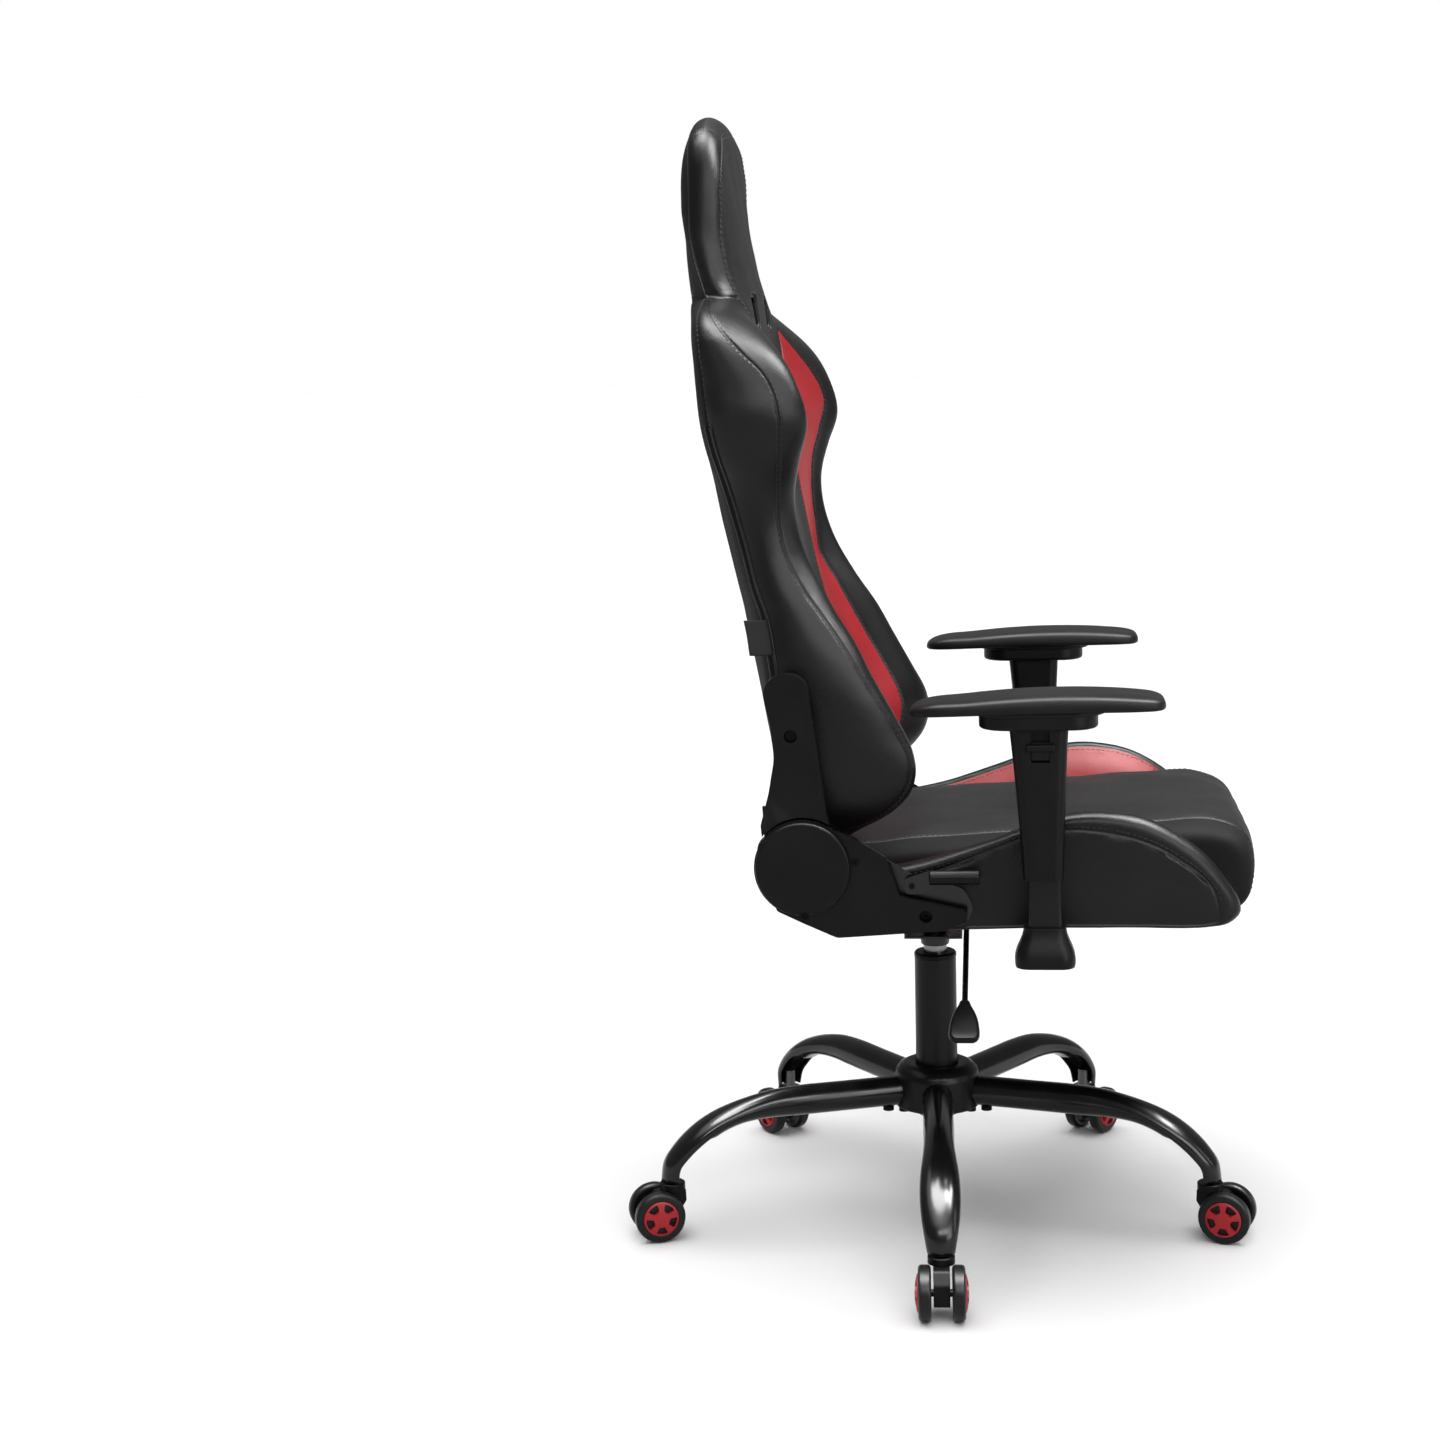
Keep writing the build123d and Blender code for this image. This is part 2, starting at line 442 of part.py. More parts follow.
save("arm_posts", post_arm, flip(post_arm))
save("arm_boots", boot, flip(boot))

SLEEVE_Z0, SLEEVE_Z1 = 471.0, 636.0
s_faces = []
for z, x0, x1, wy in ((SLEEVE_Z0, 104.5, 147.5, 37.0), (520.0, 101.5, 149.0, 38.0), (580.0, 96.5, 151.0, 39.5), (SLEEVE_Z1, 91.0, 153.5, 41.0)):
    s_faces.append(Pos((x0 + x1) / 2, -ARM_Y, z) * RectangleRounded(x1 - x0, wy, 11.0))
sleeve = loft(s_faces)
head = Pos(122.0, -ARM_Y, 635.5) * extrude(RectangleRounded(126.0, 64.0, 30.0), amount=14.5)
head = head.solids()[0]
head = soften(head, head.faces().sort_by(Axis.Z)[0].outer_wire().edges(), 4.0)
sleeve = sleeve + head
sleeve = sleeve - block(ARM_X - 18.0, ARM_X + 18.0, -ARM_Y - 11.5, -ARM_Y + 11.5, 440, 592)
# trigger slot in the outer face
SLOT_X0, SLOT_X1 = 114.0, 133.5
OUT_Y = -ARM_Y - 20.0
sleeve = sleeve - block(SLOT_X0, SLOT_X1, OUT_Y - 6, OUT_Y + 7.0, 600, 632.4)
sleeve = max(sleeve.solids(), key=lambda s: s.volume)
trigger = block(SLOT_X0 + 0.5, SLOT_X1 - 0.5, OUT_Y - 1.5, OUT_Y + 6.5, 603.0, 622.0) + block(109.0, 138.5, OUT_Y - 7.0, OUT_Y - 1.4, 613.0, 620.0)
trigger = trigger.solids()[0]
trigger = soften(trigger, trigger.faces().sort_by(Axis.Y)[0].edges(), 1.6)
pad_plate = Pos(122.0, -ARM_Y, 650.2) * extrude(RectangleRounded(140.0, 70.0, 33.0), amount=8.0)
PAD_X0, PAD_X1 = -14.5, 255.0
arm_outline = [(PAD_X0, -ARM_Y - 22), (PAD_X0 + 8, -ARM_Y - 33), (50, -ARM_Y - 43), (140, -ARM_Y - 45), (220, -ARM_Y - 42), (PAD_X1 - 6, -ARM_Y - 34),
               (PAD_X1, -ARM_Y - 20), (PAD_X1, -ARM_Y + 20), (PAD_X1 - 6, -ARM_Y + 34), (220, -ARM_Y + 42), (140, -ARM_Y + 45), (50, -ARM_Y + 43), (PAD_X0 + 8, -ARM_Y + 33), (PAD_X0, -ARM_Y + 22)]
arm_side = [(PAD_X0, 653), (PAD_X0 + 3, 651), (60, 653.6), (122, 655.2), (PAD_X1 - 3, 656), (PAD_X1, 658), (PAD_X1, 663), (PAD_X1 - 8, 667), (220, 670.8), (160, 674.3), (110, 673.3), (50, 668.3), (PAD_X0 + 10, 661.5), (PAD_X0, 658.5)]
arm_pad = extrude(make_face(Polyline(*arm_outline, close=True)), amount=800) & prism_y(arm_side, -400, -100)
arm_pad = arm_pad + pad_plate
arm_pad = max(arm_pad.solids(), key=lambda s: s.volume)
for side, f in (("right", lambda s: s), ("left", flip)):
    save(f"arm_sleeve_{side}", f(sleeve))
    save(f"arm_pad_{side}", f(arm_pad))
    save(f"arm_trigger_{side}", f(trigger))

# ------------------------------------------------------------------
# Backrest
# ------------------------------------------------------------------
REAR = [(498, -160), (520, -166), (575, -170), (615, -172), (680, -183), (770, -198), (820, -208), (890, -221), (970, -240), (1050, -250), (1160, -259), (1250, -258), (1285, -250), (1301, -236)]
CENTRE = [(498, -112), (520, -106), (560, -100), (620, -106), (700, -124), (800, -147), (900, -166), (1000, -181), (1058, -190), (1104, -198), (1153, -204), (1208, -208), (1262, -210), (1290, -220), (1301, -236)]
WING = [(510, -78), (520, -52), (545, -23), (575, -11), (600, -14), (640, -34), (680, -55), (720, -75), (760, -98), (800, -118), (840, -129), (880, -135), (920, -129), (960, -122), (1000, -132), (1040, -152), (1075, -176)]
WIDE = [(510, 218), (560, 240), (640, 242), (700, 238), (760, 226), (820, 216), (880, 222), (930, 250), (970, 263), (1000, 260), (1040, 234), (1075, 192)]


def at(rows, z):
    for (z0, v0), (z1, v1) in zip(rows, rows[1:]):
        if z <= z1:
            return v0 + (v1 - v0) * (z - z0) / (z1 - z0)
    return rows[-1][1]


def side_outline(front, z0, z1, step):
    n = max(2, round((z1 - z0) / step))
    zs = [z0 + (z1 - z0) * i / n for i in range(n + 1)]
    back = [(at(REAR, z), z) for z in zs]
    fore = [(at(front, z), z) for z in reversed(zs)]
    return back + fore


FRAME_T = 11.0
P_LOW, P_HIGH = (-141.0, 566.0), (-213.0, 1012.0)
FRAME_Y = 178.0


def back_ring(grow):
    """Two uprights and two cross tubes."""
    s = None
    for x, z in (P_LOW, P_HIGH):
        t = rod_y(FRAME_T - 0.6 + grow, x, z, -FRAME_Y - FRAME_T - grow, FRAME_Y + FRAME_T + grow)
        s = t if s is None else s + t
    for y in (-FRAME_Y, FRAME_Y):
        s = s + bar((P_LOW[0], y, P_LOW[1]), (P_HIGH[0], y, P_HIGH[1]), FRAME_T + grow)
    return s


back_frame = back_ring(0.0)
back_bolts = []
hole_tools = []
for x, z in BACK_BOLTS:
    b = rod_y(4.0, x, z, -SIDE_Y - 6.0, -FRAME_Y - FRAME_T - 0.3) + rod_y(6.6, x, z, -SIDE_Y - 9.0, -SIDE_Y - 5.05)
    hole_tools.append(rod_y(4.6, x, z, -260, -FRAME_Y))
    back_bolts.append(b)
d_up = Vector(P_HIGH[0] - P_LOW[0], 0, P_HIGH[1] - P_LOW[1]).normalized()
CAV = 2 * FRAME_T + 1.4
ring_tool = None
for y in (-FRAME_Y, FRAME_Y):
    pl = Plane(origin=Vector(P_LOW[0], y, P_LOW[1]) - d_up * 13.0, x_dir=(0, 1, 0), z_dir=d_up)
    t = extrude(pl * Rectangle(CAV, CAV), amount=484.0)
    ring_tool = t if ring_tool is None else ring_tool + t
for x, z in (P_LOW, P_HIGH):
    pl = Plane(origin=(x, -FRAME_Y, z), x_dir=d_up, z_dir=(0, 1, 0))
    ring_tool = ring_tool + extrude(pl * Rectangle(CAV, CAV), amount=2 * FRAME_Y)

back_pad = prism_y(side_outline(CENTRE, 500, 1058, 45), -BACK_HALF, BACK_HALF) - ring_tool
save("back_pad", back_pad)

plan = [(-BACK_HALF - 0.4, 510)] + [(-wv, z) for z, wv in WIDE] + [(-BACK_HALF - 0.4, 1075)]
wing = prism_y(side_outline(WING, 510, 1075, 32), -300, -BACK_HALF - 0.4) & prism_x(plan, -400, 100)
wing = wing - ring_tool
for t in hole_tools:
    wing = wing - t
wing = max(wing.solids(), key=lambda s: s.volume)
save("back_wing_right", wing)
save("back_wing_left", flip(wing))

save("back_frame", back_frame)

NECK0, NECK1 = 1058.4, 1103.6
neck_mid = prism_y(side_outline(CENTRE, NECK0, NECK1, 25), -34.0, 34.0)
neck_out = prism_y(side_outline(CENTRE, NECK0, NECK1, 25), -146.0, -86.0)
neck_out = neck_out - prism_x([(-400, 1000), (-400, 1075.6), (-BACK_HALF - 0.2, 1075.6), (-BACK_HALF - 0.2, 1000)], -400, 100)
neck_out = max(neck_out.solids(), key=lambda s: s.volume)
save("neck_pads", neck_mid, neck_out, flip(neck_out))

HEAD = [(1104, 146), (1160, 143), (1230, 139), (1262, 128), (1284, 104), (1296, 70), (1301, 30)]
head_plan = [(-wv, z) for z, wv in HEAD] + [(wv, z) for z, wv in reversed(HEAD)]
headrest = prism_y(side_outline(CENTRE, 1104, 1300.5, 28), -200, 200) & prism_x(head_plan, -400, 0)
save("headrest", headrest)

# rims through the neck beside the middle: outer 51 x 44.4, clear opening 41 x 33
RIM_Y, RIM_Z = 60.0, 1081.0
rim_outer = extrude(Plane(origin=(-254.5, -RIM_Y, RIM_Z), x_dir=(0, 1, 0), z_dir=(1, 0, 0)) * RectangleRounded(51.0, 44.2, 9.0), amount=76.0)
rim_inner = extrude(Plane(origin=(-300, -RIM_Y, RIM_Z), x_dir=(0, 1, 0), z_dir=(1, 0, 0)) * RectangleRounded(41.0, 34.0, 7.0), amount=200.0)
slant = prism_y([(at(REAR, 1050) - 2.0, 1050), (at(REAR, 1110) - 2.0, 1110), (at(CENTRE, 1110) + 2.0, 1110), (at(CENTRE, 1050) + 2.0, 1050)], -200, 0)
rim = (rim_outer & slant) - rim_inner
save("strap_rims", rim, flip(rim))

save("recline_arms", recline_arm, flip(recline_arm))
save("back_bolts", *back_bolts, *[flip(b) for b in back_bolts])
save("under_seat_bolts", *mech_bolts, *bracket_bolts, *[flip(b) for b in bracket_bolts])
save("bracket_fasteners", *screws, *[flip(s) for s in screws], lever_pin)
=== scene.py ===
import json
import math

import bmesh
import bpy
import numpy as np
from mathutils import Matrix, Vector
from mathutils.bvhtree import BVHTree


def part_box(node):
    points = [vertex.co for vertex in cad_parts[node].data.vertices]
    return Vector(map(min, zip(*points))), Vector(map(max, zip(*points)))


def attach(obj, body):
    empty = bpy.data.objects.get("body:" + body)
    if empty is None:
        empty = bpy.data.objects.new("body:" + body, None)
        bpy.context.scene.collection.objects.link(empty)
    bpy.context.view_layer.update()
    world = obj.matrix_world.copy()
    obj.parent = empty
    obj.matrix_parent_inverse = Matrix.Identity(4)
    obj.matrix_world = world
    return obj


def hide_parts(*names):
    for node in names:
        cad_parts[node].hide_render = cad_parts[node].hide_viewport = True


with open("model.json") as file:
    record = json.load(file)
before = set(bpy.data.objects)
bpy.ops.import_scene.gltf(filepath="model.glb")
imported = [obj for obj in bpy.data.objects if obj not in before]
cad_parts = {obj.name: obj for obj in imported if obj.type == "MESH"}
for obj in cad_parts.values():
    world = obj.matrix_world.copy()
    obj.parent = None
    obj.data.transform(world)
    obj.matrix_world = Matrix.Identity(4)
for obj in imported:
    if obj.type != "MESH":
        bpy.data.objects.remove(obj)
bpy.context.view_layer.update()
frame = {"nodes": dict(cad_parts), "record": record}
nodes = frame["nodes"]
scene = bpy.context.scene
MM = 0.001


# ------------------------------------------------------------------
# Curves and mesh helpers (all in millimetres, turned to metres at the end)
# ------------------------------------------------------------------
def curve(points):
    """A smooth curve through (t, value) points."""
    p = np.array(sorted(points), float)
    x, y = p[:, 0], p[:, 1]
    h = np.diff(x)
    d = np.diff(y) / h
    m = np.empty(len(x))
    m[0], m[-1] = d[0], d[-1]
    m[1:-1] = (d[:-1] * h[1:] + d[1:] * h[:-1]) / (h[:-1] + h[1:])

    def f(t):
        t = np.clip(np.asarray(t, float), x[0], x[-1])
        i = np.clip(np.searchsorted(x, t) - 1, 0, len(h) - 1)
        s = (t - x[i]) / h[i]
        return (y[i] * (1 + 2 * s) * (1 - s) ** 2 + m[i] * h[i] * s * (1 - s) ** 2
                + y[i + 1] * s * s * (3 - 2 * s) + m[i + 1] * h[i] * s * s * (s - 1))

    return f


def catmull(p0, p1, p2, p3, n):
    """Centripetal spline from p1 to p2, n + 1 points."""
    def knot(t, a, b):
        return t + max(np.linalg.norm(b - a), 1e-6) ** 0.5

    t0 = 0.0
    t1 = knot(t0, p0, p1)
    t2 = knot(t1, p1, p2)
    t3 = knot(t2, p2, p3)
    t = np.linspace(t1, t2, n + 1)[:, None]
    a1 = (t1 - t) / (t1 - t0) * p0 + (t - t0) / (t1 - t0) * p1
    a2 = (t2 - t) / (t2 - t1) * p1 + (t - t1) / (t2 - t1) * p2
    a3 = (t3 - t) / (t3 - t2) * p2 + (t - t2) / (t3 - t2) * p3
    b1 = (t2 - t) / (t2 - t0) * a1 + (t - t0) / (t2 - t0) * a2
    b2 = (t3 - t) / (t3 - t1) * a2 + (t - t1) / (t3 - t1) * a3
    return (t2 - t) / (t2 - t1) * b1 + (t - t1) / (t2 - t1) * b2


def along(poly, fractions):
    """Points at fractions of a polyline's length."""
    poly = np.asarray(poly, float)
    s = np.concatenate([[0], np.cumsum(np.linalg.norm(np.diff(poly, axis=0), axis=1))])
    t = np.asarray(fractions) * s[-1]
    return np.stack([np.interp(t, s, poly[:, k]) for k in range(poly.shape[1])], axis=1)


def length_of(poly):
    return float(np.linalg.norm(np.diff(poly, axis=0), axis=1).sum())


def closed_curve(points, n):
    """n evenly spaced points on a smooth closed curve."""
    p = np.array(points, float)
    k = len(p)
    out = []
    for i in range(k):
        out.append(catmull(p[i - 1], p[i], p[(i + 1) % k], p[(i + 2) % k], 16)[:-1])
    out = np.concatenate(out)
    out = np.vstack([out, out[:1]])
    return along(out, np.linspace(0, 1, n + 1)[:-1])


def open_curve(points, n):
    p = np.array(points, float)
    out = []
    for i in range(len(p) - 1):
        a = p[i - 1] if i else 2 * p[0] - p[1]
        b = p[i + 2] if i + 2 < len(p) else 2 * p[-1] - p[-2]
        seg = catmull(a, p[i], p[i + 1], b, 14)
        out.append(seg if i == len(p) - 2 else seg[:-1])
    return along(np.concatenate(out), np.linspace(0, 1, n))


def wave(p, scale, seed):
    """Deterministic smooth noise, about -1 to 1, of points in millimetres."""
    rng = np.random.default_rng(seed)
    total = np.zeros(len(p))
    for _ in range(7):
        k = rng.normal(size=3)
        k = k / np.linalg.norm(k) * (2 * math.pi / scale) * rng.uniform(0.6, 1.5)
        total += np.sin(p @ k + rng.uniform(0, 6.28))
    return total / 3.2


def mesh_object(name, verts, faces, materials, mats=None, smooth=True):
    me = bpy.data.meshes.new(name)
    me.from_pydata([tuple(v) for v in np.asarray(verts) * MM], [], [tuple(int(i) for i in f) for f in faces])
    for m in materials:
        me.materials.append(m)
    if mats is not None:
        me.polygons.foreach_set("material_index", np.asarray(mats, dtype=np.int32))
    bm = bmesh.new()
    bm.from_mesh(me)
    bmesh.ops.remove_doubles(bm, verts=bm.verts, dist=2e-5)
    bmesh.ops.recalc_face_normals(bm, faces=bm.faces)
    bm.to_mesh(me)
    bm.free()
    me.polygons.foreach_set("use_smooth", np.full(len(me.polygons), smooth))
    me.update()
    o = bpy.data.objects.new(name, me)
    scene.collection.objects.link(o)
    return o


def grid_faces(m, n, closed=True, start=0):
    """Quads of m rings of n points."""
    i, j = np.meshgrid(np.arange(m - 1), np.arange(n if closed else n - 1), indexing="ij")
    i, j = i.ravel(), j.ravel()
    k = (j + 1) % n
    return np.stack([i * n + j, i * n + k, (i + 1) * n + k, (i + 1) * n + j], axis=1) + start


def ring_normals(rings):
    """Outward normals of a tube of rings (m, n, 3), by differences."""
    a = np.roll(rings, -1, axis=1) - np.roll(rings, 1, axis=1)
    b = np.empty_like(rings)
    b[1:-1] = rings[2:] - rings[:-2]
    b[0] = rings[1] - rings[0]
    b[-1] = rings[-1] - rings[-2]
    nrm = np.cross(a, b)
    ln = np.linalg.norm(nrm, axis=2, keepdims=True)
    nrm = nrm / np.maximum(ln, 1e-9)
    return nrm


def outward(rings, nrm):
    """Flip the normals so that they point away from each ring's middle."""
    mid = rings.mean(axis=1, keepdims=True)
    s = np.sign(np.sum((rings - mid) * nrm, axis=2).mean())
    return nrm * (s if s else 1.0)


def ladder(a, b):
    """Triangles and quads between two index rows that run the same way."""
    faces = []
    i = j = 0
    na, nb = len(a) - 1, len(b) - 1
    while i < na or j < nb:
        if j == nb or (i < na and (i + 1) / na <= (j + 1) / nb):
            faces.append((a[i], a[i + 1], b[j]))
            i += 1
        else:
            faces.append((a[i], b[j + 1], b[j]))
            j += 1
    return faces


def tube(path, radius, n=8, squash=1.0, side=None):
    """Verts and faces of a closed tube round a path."""
    path = np.asarray(path, float)
    m = len(path)
    tan = np.gradient(path, axis=0)
    tan /= np.maximum(np.linalg.norm(tan, axis=1, keepdims=True), 1e-9)
    up = np.array(side if side is not None else (0.0, 0.0, 1.0))
    rings = []
    for k in range(m):
        u = np.cross(tan[k], up if np.ndim(up) == 1 else up[k])
        u /= max(np.linalg.norm(u), 1e-9)
        w = np.cross(u, tan[k])
        t = np.linspace(0, 2 * math.pi, n, endpoint=False)
        r = radius if np.ndim(radius) == 0 else radius[k]
        rings.append(path[k] + np.outer(np.cos(t) * r, u) + np.outer(np.sin(t) * r * squash, w))
    v = np.concatenate(rings)
    f = [tuple(q) for q in grid_faces(m, n)]
    f.append(tuple(range(n))[::-1])
    f.append(tuple(range((m - 1) * n, m * n)))
    return v, f


class Heap:
    """Collects many small meshes into one object."""

    def __init__(self):
        self.v, self.f, self.m, self.n = [], [], [], 0

    def add(self, v, f, mat=0):
        v = np.asarray(v, float)
        self.v.append(v)
        self.f += [tuple(int(i) + self.n for i in q) for q in f]
        self.m += [mat] * len(f)
        self.n += len(v)

    def build(self, name, materials, smooth=True):
        return mesh_object(name, np.concatenate(self.v), self.f, materials, self.m, smooth)


def stitches(heap, path, nrm, long=4.4, gap=1.9, r=0.42, lift=0.12, mat=0):
    """Thread stitches along a path that lies on a surface with those normals."""
    path, nrm = np.asarray(path, float), np.asarray(nrm, float)
    s = np.concatenate([[0], np.cumsum(np.linalg.norm(np.diff(path, axis=0), axis=1))])
    if s[-1] < 2 * long:
        return
    step = long + gap
    count = int(s[-1] // step)
    ts = np.linspace(-1, 1, 5)
    rad = np.array([0.35, 0.85, 1.0, 0.85, 0.35]) * r
    dip = np.array([-0.55, 0.05, 0.25, 0.05, -0.55]) * r
    ang = np.linspace(0, 2 * math.pi, 6, endpoint=False)
    for k in range(count):
        c = (k + 0.5) * step
        at_s = np.clip(c + ts * long / 2, 0, s[-1])
        p = np.stack([np.interp(at_s, s, path[:, q]) for q in range(3)], axis=1)
        w = np.stack([np.interp(at_s, s, nrm[:, q]) for q in range(3)], axis=1)
        w /= np.linalg.norm(w, axis=1, keepdims=True)
        t = p[-1] - p[0]
        t /= max(np.linalg.norm(t), 1e-9)
        u = np.cross(w, t)
        u /= np.maximum(np.linalg.norm(u, axis=1, keepdims=True), 1e-9)
        ring = (p + w * (lift + dip)[:, None])[:, None, :] + rad[:, None, None] * (
            np.cos(ang)[None, :, None] * u[:, None, :] + np.sin(ang)[None, :, None] * w[:, None, :])
        f = [tuple(q) for q in grid_faces(5, 6)]
        f.append((5, 4, 3, 2, 1, 0))
        f.append(tuple(range(24, 30)))
        heap.add(ring.reshape(-1, 3), f, mat)


# ------------------------------------------------------------------
# Materials
# ------------------------------------------------------------------
def new_material(name):
    m = bpy.data.materials.new(name)
    m.use_nodes = True
    nt = m.node_tree
    return m, nt, nt.nodes["Principled BSDF"]


def tex(nt, kind, scale, coord, **inputs):
    n = nt.nodes.new(kind)
    n.inputs["Scale"].default_value = scale
    for k, v in inputs.items():
        n.inputs[k].default_value = v
    nt.links.new(coord, n.inputs["Vector"])
    return n


def ramp(nt, fac, stops):
    r = nt.nodes.new("ShaderNodeValToRGB")
    e = r.color_ramp.elements
    e[0].position, e[0].color = stops[0][0], (*stops[0][1], 1)
    e[1].position, e[1].color = stops[-1][0], (*stops[-1][1], 1)
    for pos, col in stops[1:-1]:
        q = e.new(pos)
        q.color = (*col, 1)
    nt.links.new(fac, r.inputs["Fac"])
    return r.outputs["Color"]


def span(nt, fac, lo, hi, a=0.0, b=1.0):
    r = nt.nodes.new("ShaderNodeMapRange")
    r.inputs["From Min"].default_value = a
    r.inputs["From Max"].default_value = b
    r.inputs["To Min"].default_value = lo
    r.inputs["To Max"].default_value = hi
    nt.links.new(fac, r.inputs["Value"])
    return r.outputs["Result"]


def math_node(nt, op, a, b):
    n = nt.nodes.new("ShaderNodeMath")
    n.operation = op
    for k, v in enumerate((a, b)):
        if isinstance(v, (int, float)):
            n.inputs[k].default_value = v
        else:
            nt.links.new(v, n.inputs[k])
    return n.outputs[0]


def bump(nt, bsdf, height, strength, distance, before=None):
    b = nt.nodes.new("ShaderNodeBump")
    b.inputs["Strength"].default_value = strength
    b.inputs["Distance"].default_value = distance
    nt.links.new(height, b.inputs["Height"])
    if before is not None:
        nt.links.new(before, b.inputs["Normal"])
    nt.links.new(b.outputs["Normal"], bsdf.inputs["Normal"])
    return b.outputs["Normal"]


def leather(name, dark, mid, light, rough, grain=760.0, sheen=0.0, spec=0.5, crease=0.35):
    m, nt, b = new_material(name)
    co = nt.nodes.new("ShaderNodeTexCoord").outputs["Object"]
    warp = tex(nt, "ShaderNodeTexNoise", 260.0, co, Detail=2.0)
    off = nt.nodes.new("ShaderNodeVectorMath")
    off.operation = "MULTIPLY_ADD"
    off.inputs[1].default_value = (0.0012, 0.0012, 0.0012)
    nt.links.new(warp.outputs["Color"], off.inputs[0])
    nt.links.new(co, off.inputs[2])
    cells = tex(nt, "ShaderNodeTexVoronoi", grain, off.outputs[0])
    cells.feature = "DISTANCE_TO_EDGE"
    edge = span(nt, cells.outputs["Distance"], 0.0, 1.0, 0.0, 0.16)
    fine = tex(nt, "ShaderNodeTexNoise", grain * 2.4, co, Detail=3.0)
    fold = tex(nt, "ShaderNodeTexNoise", 34.0, co, Detail=3.0, Roughness=0.55)
    cloud = tex(nt, "ShaderNodeTexNoise", 7.0, co, Detail=2.0)
    shade = math_node(nt, "ADD", math_node(nt, "MULTIPLY", cloud.outputs["Fac"], 0.62), math_node(nt, "MULTIPLY", edge, 0.2))
    col = ramp(nt, shade, [(0.22, dark), (0.46, mid), (0.72, light)])
    nt.links.new(col, b.inputs["Base Color"])
    r1 = span(nt, cloud.outputs["Fac"], rough - 0.05, rough + 0.06, 0.3, 0.7)
    r2 = math_node(nt, "SUBTRACT", r1, math_node(nt, "MULTIPLY", edge, 0.05))
    nt.links.new(r2, b.inputs["Roughness"])
    h = math_node(nt, "ADD", math_node(nt, "MULTIPLY", edge, 0.75), math_node(nt, "MULTIPLY", fine.outputs["Fac"], 0.3))
    n1 = bump(nt, b, h, 0.32, 0.00022)
    bump(nt, b, fold.outputs["Fac"], crease, 0.0011, n1)
    b.inputs["Specular IOR Level"].default_value = spec
    b.inputs["Sheen Weight"].default_value = sheen
    b.inputs["Sheen Roughness"].default_value = 0.45
    return m


def hard(name, dark, light, rough, scale=900.0, strength=0.08, metallic=0.0, spec=0.5, coat=0.0, coat_rough=0.2, speck=0.5, painted_edge_highlight=None):
    """Moulded plastic, powder coat or metal, with a fine texture and, where an edge colour is given, a painted
    highlight: sharp edges are painted lighter.
    """
    m, nt, b = new_material(name)
    co = nt.nodes.new("ShaderNodeTexCoord").outputs["Object"]
    fine = tex(nt, "ShaderNodeTexNoise", scale, co, Detail=3.0, Roughness=0.6)
    cloud = tex(nt, "ShaderNodeTexNoise", 14.0, co, Detail=3.0)
    mix = math_node(nt, "ADD", math_node(nt, "MULTIPLY", cloud.outputs["Fac"], 1.0 - speck), math_node(nt, "MULTIPLY", fine.outputs["Fac"], speck))
    if painted_edge_highlight is not None:
        # painted highlight: convex edges (high pointiness) are pushed towards the lighter edge colour
        geo = nt.nodes.new("ShaderNodeNewGeometry")
        edge = span(nt, geo.outputs["Pointiness"], 0.0, 0.35, 0.52, 0.62)
        mix = math_node(nt, "ADD", mix, edge)
        stops = [(0.3, dark), (0.7, light), (1.0, painted_edge_highlight)]
    else:
        stops = [(0.3, dark), (0.7, light)]
    nt.links.new(ramp(nt, mix, stops), b.inputs["Base Color"])
    nt.links.new(span(nt, cloud.outputs["Fac"], rough - 0.06, rough + 0.07, 0.3, 0.7), b.inputs["Roughness"])
    bump(nt, b, fine.outputs["Fac"], strength, 0.0004)
    b.inputs["Metallic"].default_value = metallic
    b.inputs["Specular IOR Level"].default_value = spec
    b.inputs["Coat Weight"].default_value = coat
    b.inputs["Coat Roughness"].default_value = coat_rough
    return m


def woven(name, dark, light):
    m, nt, b = new_material(name)
    co = nt.nodes.new("ShaderNodeTexCoord").outputs["Object"]
    w1 = tex(nt, "ShaderNodeTexWave", 620.0, co, Distortion=0.4)
    w1.bands_direction = "Z"
    w2 = tex(nt, "ShaderNodeTexWave", 620.0, co, Distortion=0.4)
    w2.bands_direction = "X"
    mix = math_node(nt, "MULTIPLY", w1.outputs["Fac"], w2.outputs["Fac"])
    nt.links.new(ramp(nt, mix, [(0.0, dark), (0.8, light)]), b.inputs["Base Color"])
    nt.links.new(span(nt, mix, 0.75, 0.6), b.inputs["Roughness"])
    bump(nt, b, mix, 0.4, 0.0003)
    b.inputs["Sheen Weight"].default_value = 0.04
    b.inputs["Specular IOR Level"].default_value = 0.15
    return m


def g(v):
    return (v, v, v * 1.04)


LEATHER = leather("black_leather", g(0.0026), g(0.0040), g(0.0062), 0.36, spec=0.14, crease=0.22)
MATTE = leather("black_leather_matte", g(0.0085), g(0.0118), g(0.0150), 0.52, grain=640.0, spec=0.09, crease=0.22)
RED = leather("red_leather", (0.33, 0.007, 0.012), (0.39, 0.009, 0.015), (0.44, 0.012, 0.020), 0.46, spec=0.14, crease=0.22)
DULL = leather("black_leather_dull", g(0.0045), g(0.0065), g(0.0090), 0.78, grain=700.0, spec=0.06, crease=0.22)
THREAD = hard("thread", g(0.007), g(0.019), 0.6, scale=3000.0, strength=0.3, spec=0.2)
STEEL_BLACK = hard("black_steel", g(0.0028), g(0.0046), 0.21, scale=1500.0, strength=0.05, spec=0.26, speck=0.3)
STEEL_SATIN = hard("black_steel_satin", g(0.003), g(0.005), 0.33, scale=1300.0, strength=0.08, spec=0.12, speck=0.4)
